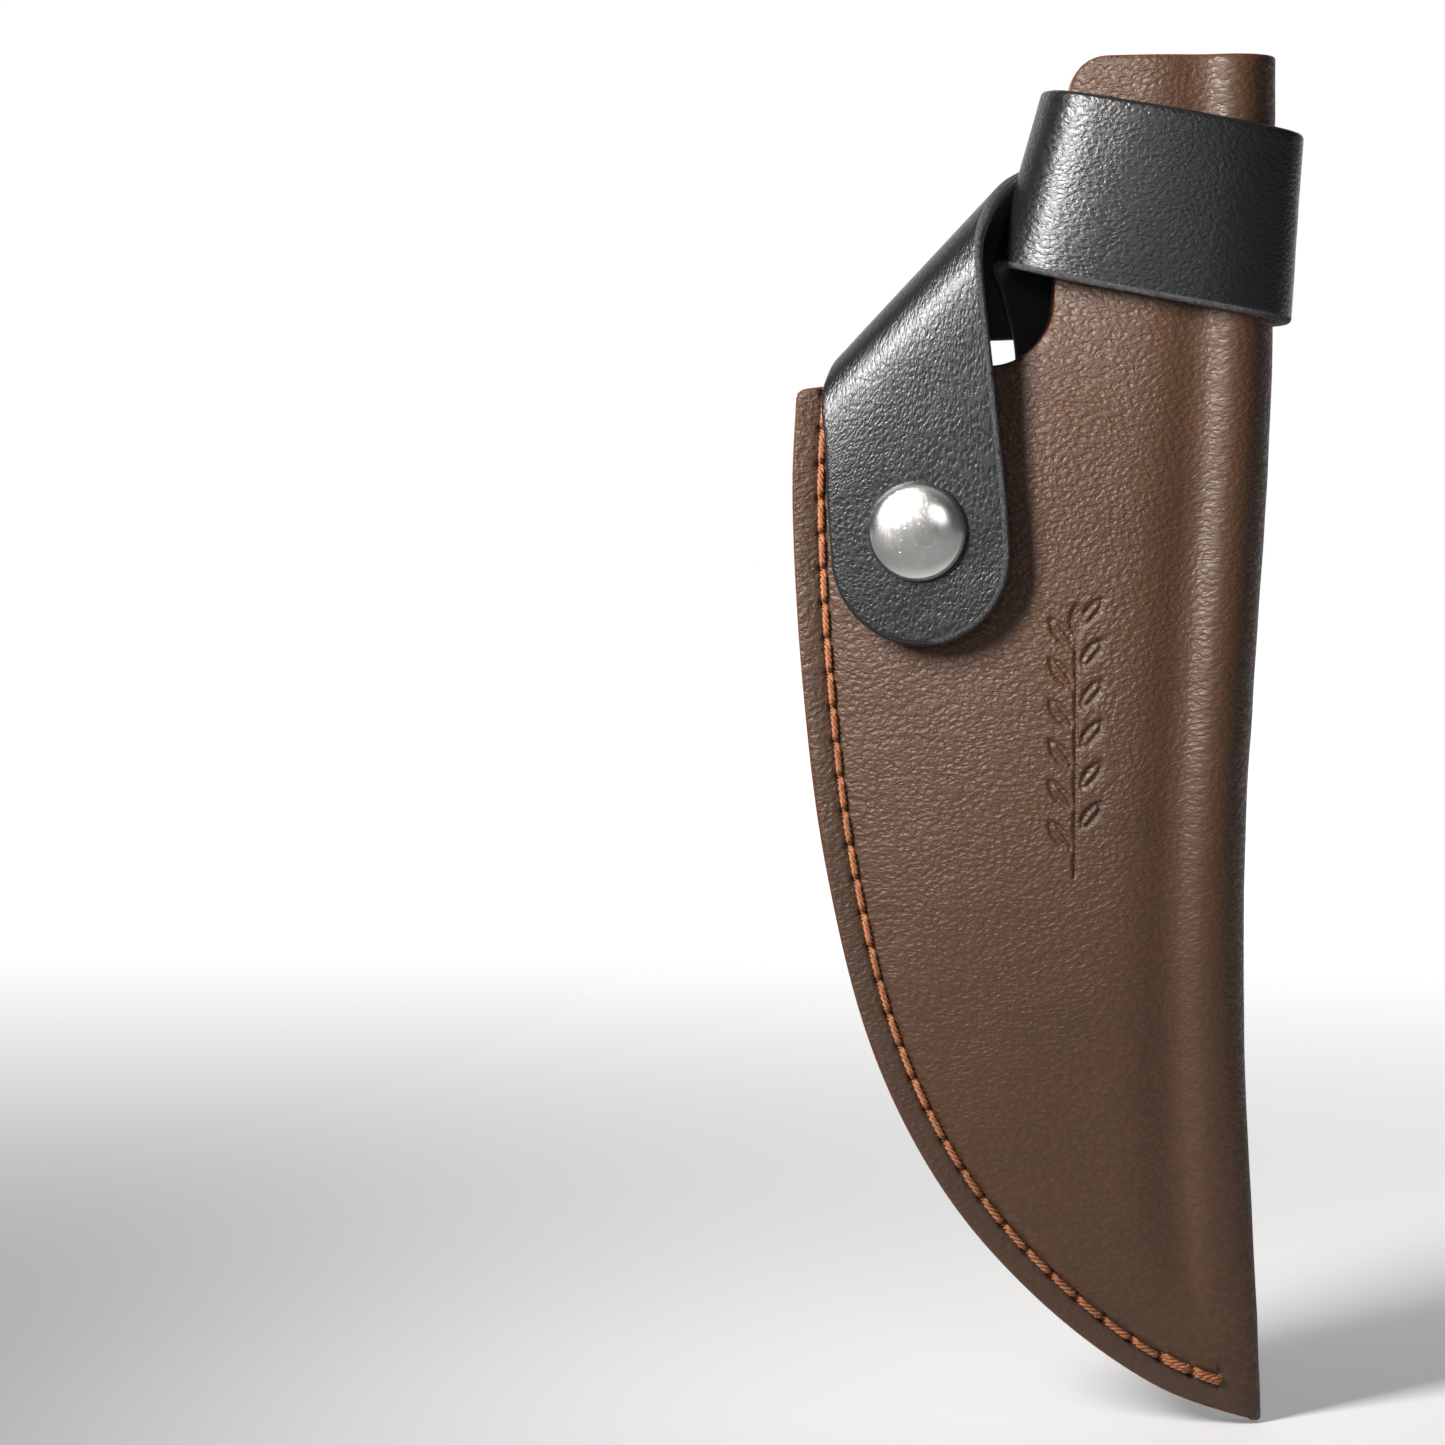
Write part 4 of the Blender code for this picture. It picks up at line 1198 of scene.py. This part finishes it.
def waxed_thread():
    made, tree = new_material("waxed_thread")
    fibres = noise_texture(tree, object_place(tree), 3600, 4.0, 0.7)
    worn = noise_texture(tree, object_place(tree), 160, 3.0)
    lit = ramp(tree, mixture(tree, fibres, worn, 0.6), ((0.3, 0.0), (0.7, 1.0)))
    tone = mix_colour(tree, lit, (0.16, 0.04, 0.008), (0.42, 0.145, 0.042))
    return finish(made, tone, 0.55, Normal=bump(tree, fibres, 0.0001, 0.7), Sheen_Weight=0.15)


# ---- studio


def look_at(obj, target):
    obj.rotation_euler = (Vector(target) - obj.location).to_track_quat("-Z", "Y").to_euler()


FLOOR_DROP = 0.0002


def area_light(name, azimuth, elevation, distance, size, power, target, colour=(1, 1, 1), spread=180):
    """A rectangular light at a distance from its target, by azimuth (0 is in front) and elevation."""
    data = bpy.data.lights.new(name, "AREA")
    data.shape = "RECTANGLE"
    data.size, data.size_y = size
    data.energy = power
    data.color = colour
    data.spread = math.radians(spread)
    lamp = add_to_scene(name, data)
    a, e = math.radians(azimuth), math.radians(elevation)
    away = Vector((math.sin(a) * math.cos(e), -math.cos(a) * math.cos(e), math.sin(e)))
    lamp.location = Vector(target) + away * distance
    look_at(lamp, target)


WORLD_BRIGHT = 1.0
WORLD_DIM = 0.08
OVERHEAD_SHARE = 0.35


def pale_world():
    """A soft room: bright overhead and behind the object, dim elsewhere."""
    world = bpy.data.worlds.new("studio")
    world.use_nodes = True
    tree = world.node_tree
    direction = node(tree, "ShaderNodeTexCoord").outputs["Generated"]
    parts = node(tree, "ShaderNodeSeparateXYZ")
    tree.links.new(direction, parts.inputs[0])
    behind = map_range(tree, parts.outputs[1], 0.6, 0.9)
    above = map_range(tree, parts.outputs[2], 0.6, 1.0)
    bright = math_node(tree, "MAXIMUM", behind, times(tree, above, OVERHEAD_SHARE))
    strength = plus(tree, times(tree, bright, WORLD_BRIGHT - WORLD_DIM), WORLD_DIM)
    background = tree.nodes["Background"]
    set_inputs(background, Color=(1.0, 1.0, 1.0), Strength=strength)
    bpy.context.scene.world = world


def build_floor():
    bpy.ops.mesh.primitive_plane_add(size=8, location=(0, 0, SHIFT.z - FLOOR_DROP))
    floor = bpy.context.active_object
    floor.name = "floor"
    made, tree = new_material("pale_floor")
    source = object_place(tree)
    clouds = noise_texture(tree, source, 3, 2.0)
    tone = mix_colour(tree, clouds, (0.72, 0.72, 0.725), (0.76, 0.76, 0.76))
    # Painted light: the floor glows faintly in front of the object and more brightly towards the back.
    parts = node(tree, "ShaderNodeSeparateXYZ")
    tree.links.new(source, parts.inputs[0])
    painted_floor_glow = map_range(tree, parts.outputs[1], -0.05, 0.9, 0.13, 0.9)
    finish(made, tone, 0.9, Emission_Color=(1.0, 1.0, 1.0), Emission_Strength=painted_floor_glow)
    floor.data.materials.append(made)


def build_studio():
    """A soft key from the left, and a small light that the snap cap catches."""
    pale_world()
    upper_panel = to_row((-52, -8, 174))
    area_light("key", -46, 25, 0.34, (0.09, 0.2), 0.62, upper_panel, (1.0, 0.985, 0.965), 68)
    area_light("catch", -2, 15, 0.6, (0.14, 0.14), 0.32, to_row((-54, -10, 143)))
    build_floor()


VIEW_CENTRE = (-86.3, 0.0, 112.2)
VIEW_WIDTH = 226.0
CAMERA_DISTANCE = 760.0
CAMERA_RISE = 46.0
SENSOR = 36
FRONT_DEPTH = 6


def build_camera():
    data = bpy.data.cameras.new("camera")
    camera = add_to_scene("camera", data)
    target = Vector(to_row(VIEW_CENTRE))
    camera.location = target + Vector((0, -CAMERA_DISTANCE, CAMERA_RISE)) * MM
    look_at(camera, target)
    reach = math.hypot(CAMERA_DISTANCE, CAMERA_RISE)
    data.sensor_width = SENSOR
    data.lens = SENSOR * (reach - FRONT_DEPTH) / VIEW_WIDTH
    data.clip_start, data.clip_end = 0.01, 20
    bpy.context.scene.camera = camera
    bpy.context.scene.view_settings.view_transform = "Standard"


# ---- build

# Each leather's outer side, inner side and cut edge
BROWN_SIDES = (
    brown_leather(),
    flesh_side("brown_flesh", (0.11, 0.062, 0.035), (0.23, 0.15, 0.095)),
    cut_edge("brown_cut_edge", (0.05, 0.016, 0.007), (0.17, 0.065, 0.03)),
)
BLACK_SIDES = (
    black_leather(),
    flesh_side("black_flesh", (0.008, 0.008, 0.009), (0.03, 0.03, 0.031)),
    black_edge(),
)
WELT_EDGE = cut_edge("welt_fibres", (0.04, 0.014, 0.007), (0.13, 0.05, 0.025))
NICKEL = metal("satin_nickel", (0.62, 0.61, 0.59), 0.24)
STEEL = metal("spring_wire", (0.5, 0.5, 0.5), 0.3)
THREAD_WAX = waxed_thread()
build_sheath_leather()
build_welt_strip()
build_stitching("front_stitching", "front_thread", BACK_FACE - SEAM_STACK, -1)
build_stitching("back_stitching", "back_thread", BACK_FACE, 1)
build_strap()
build_snap()
build_belt_loop()
build_rivets()
build_studio()
build_camera()
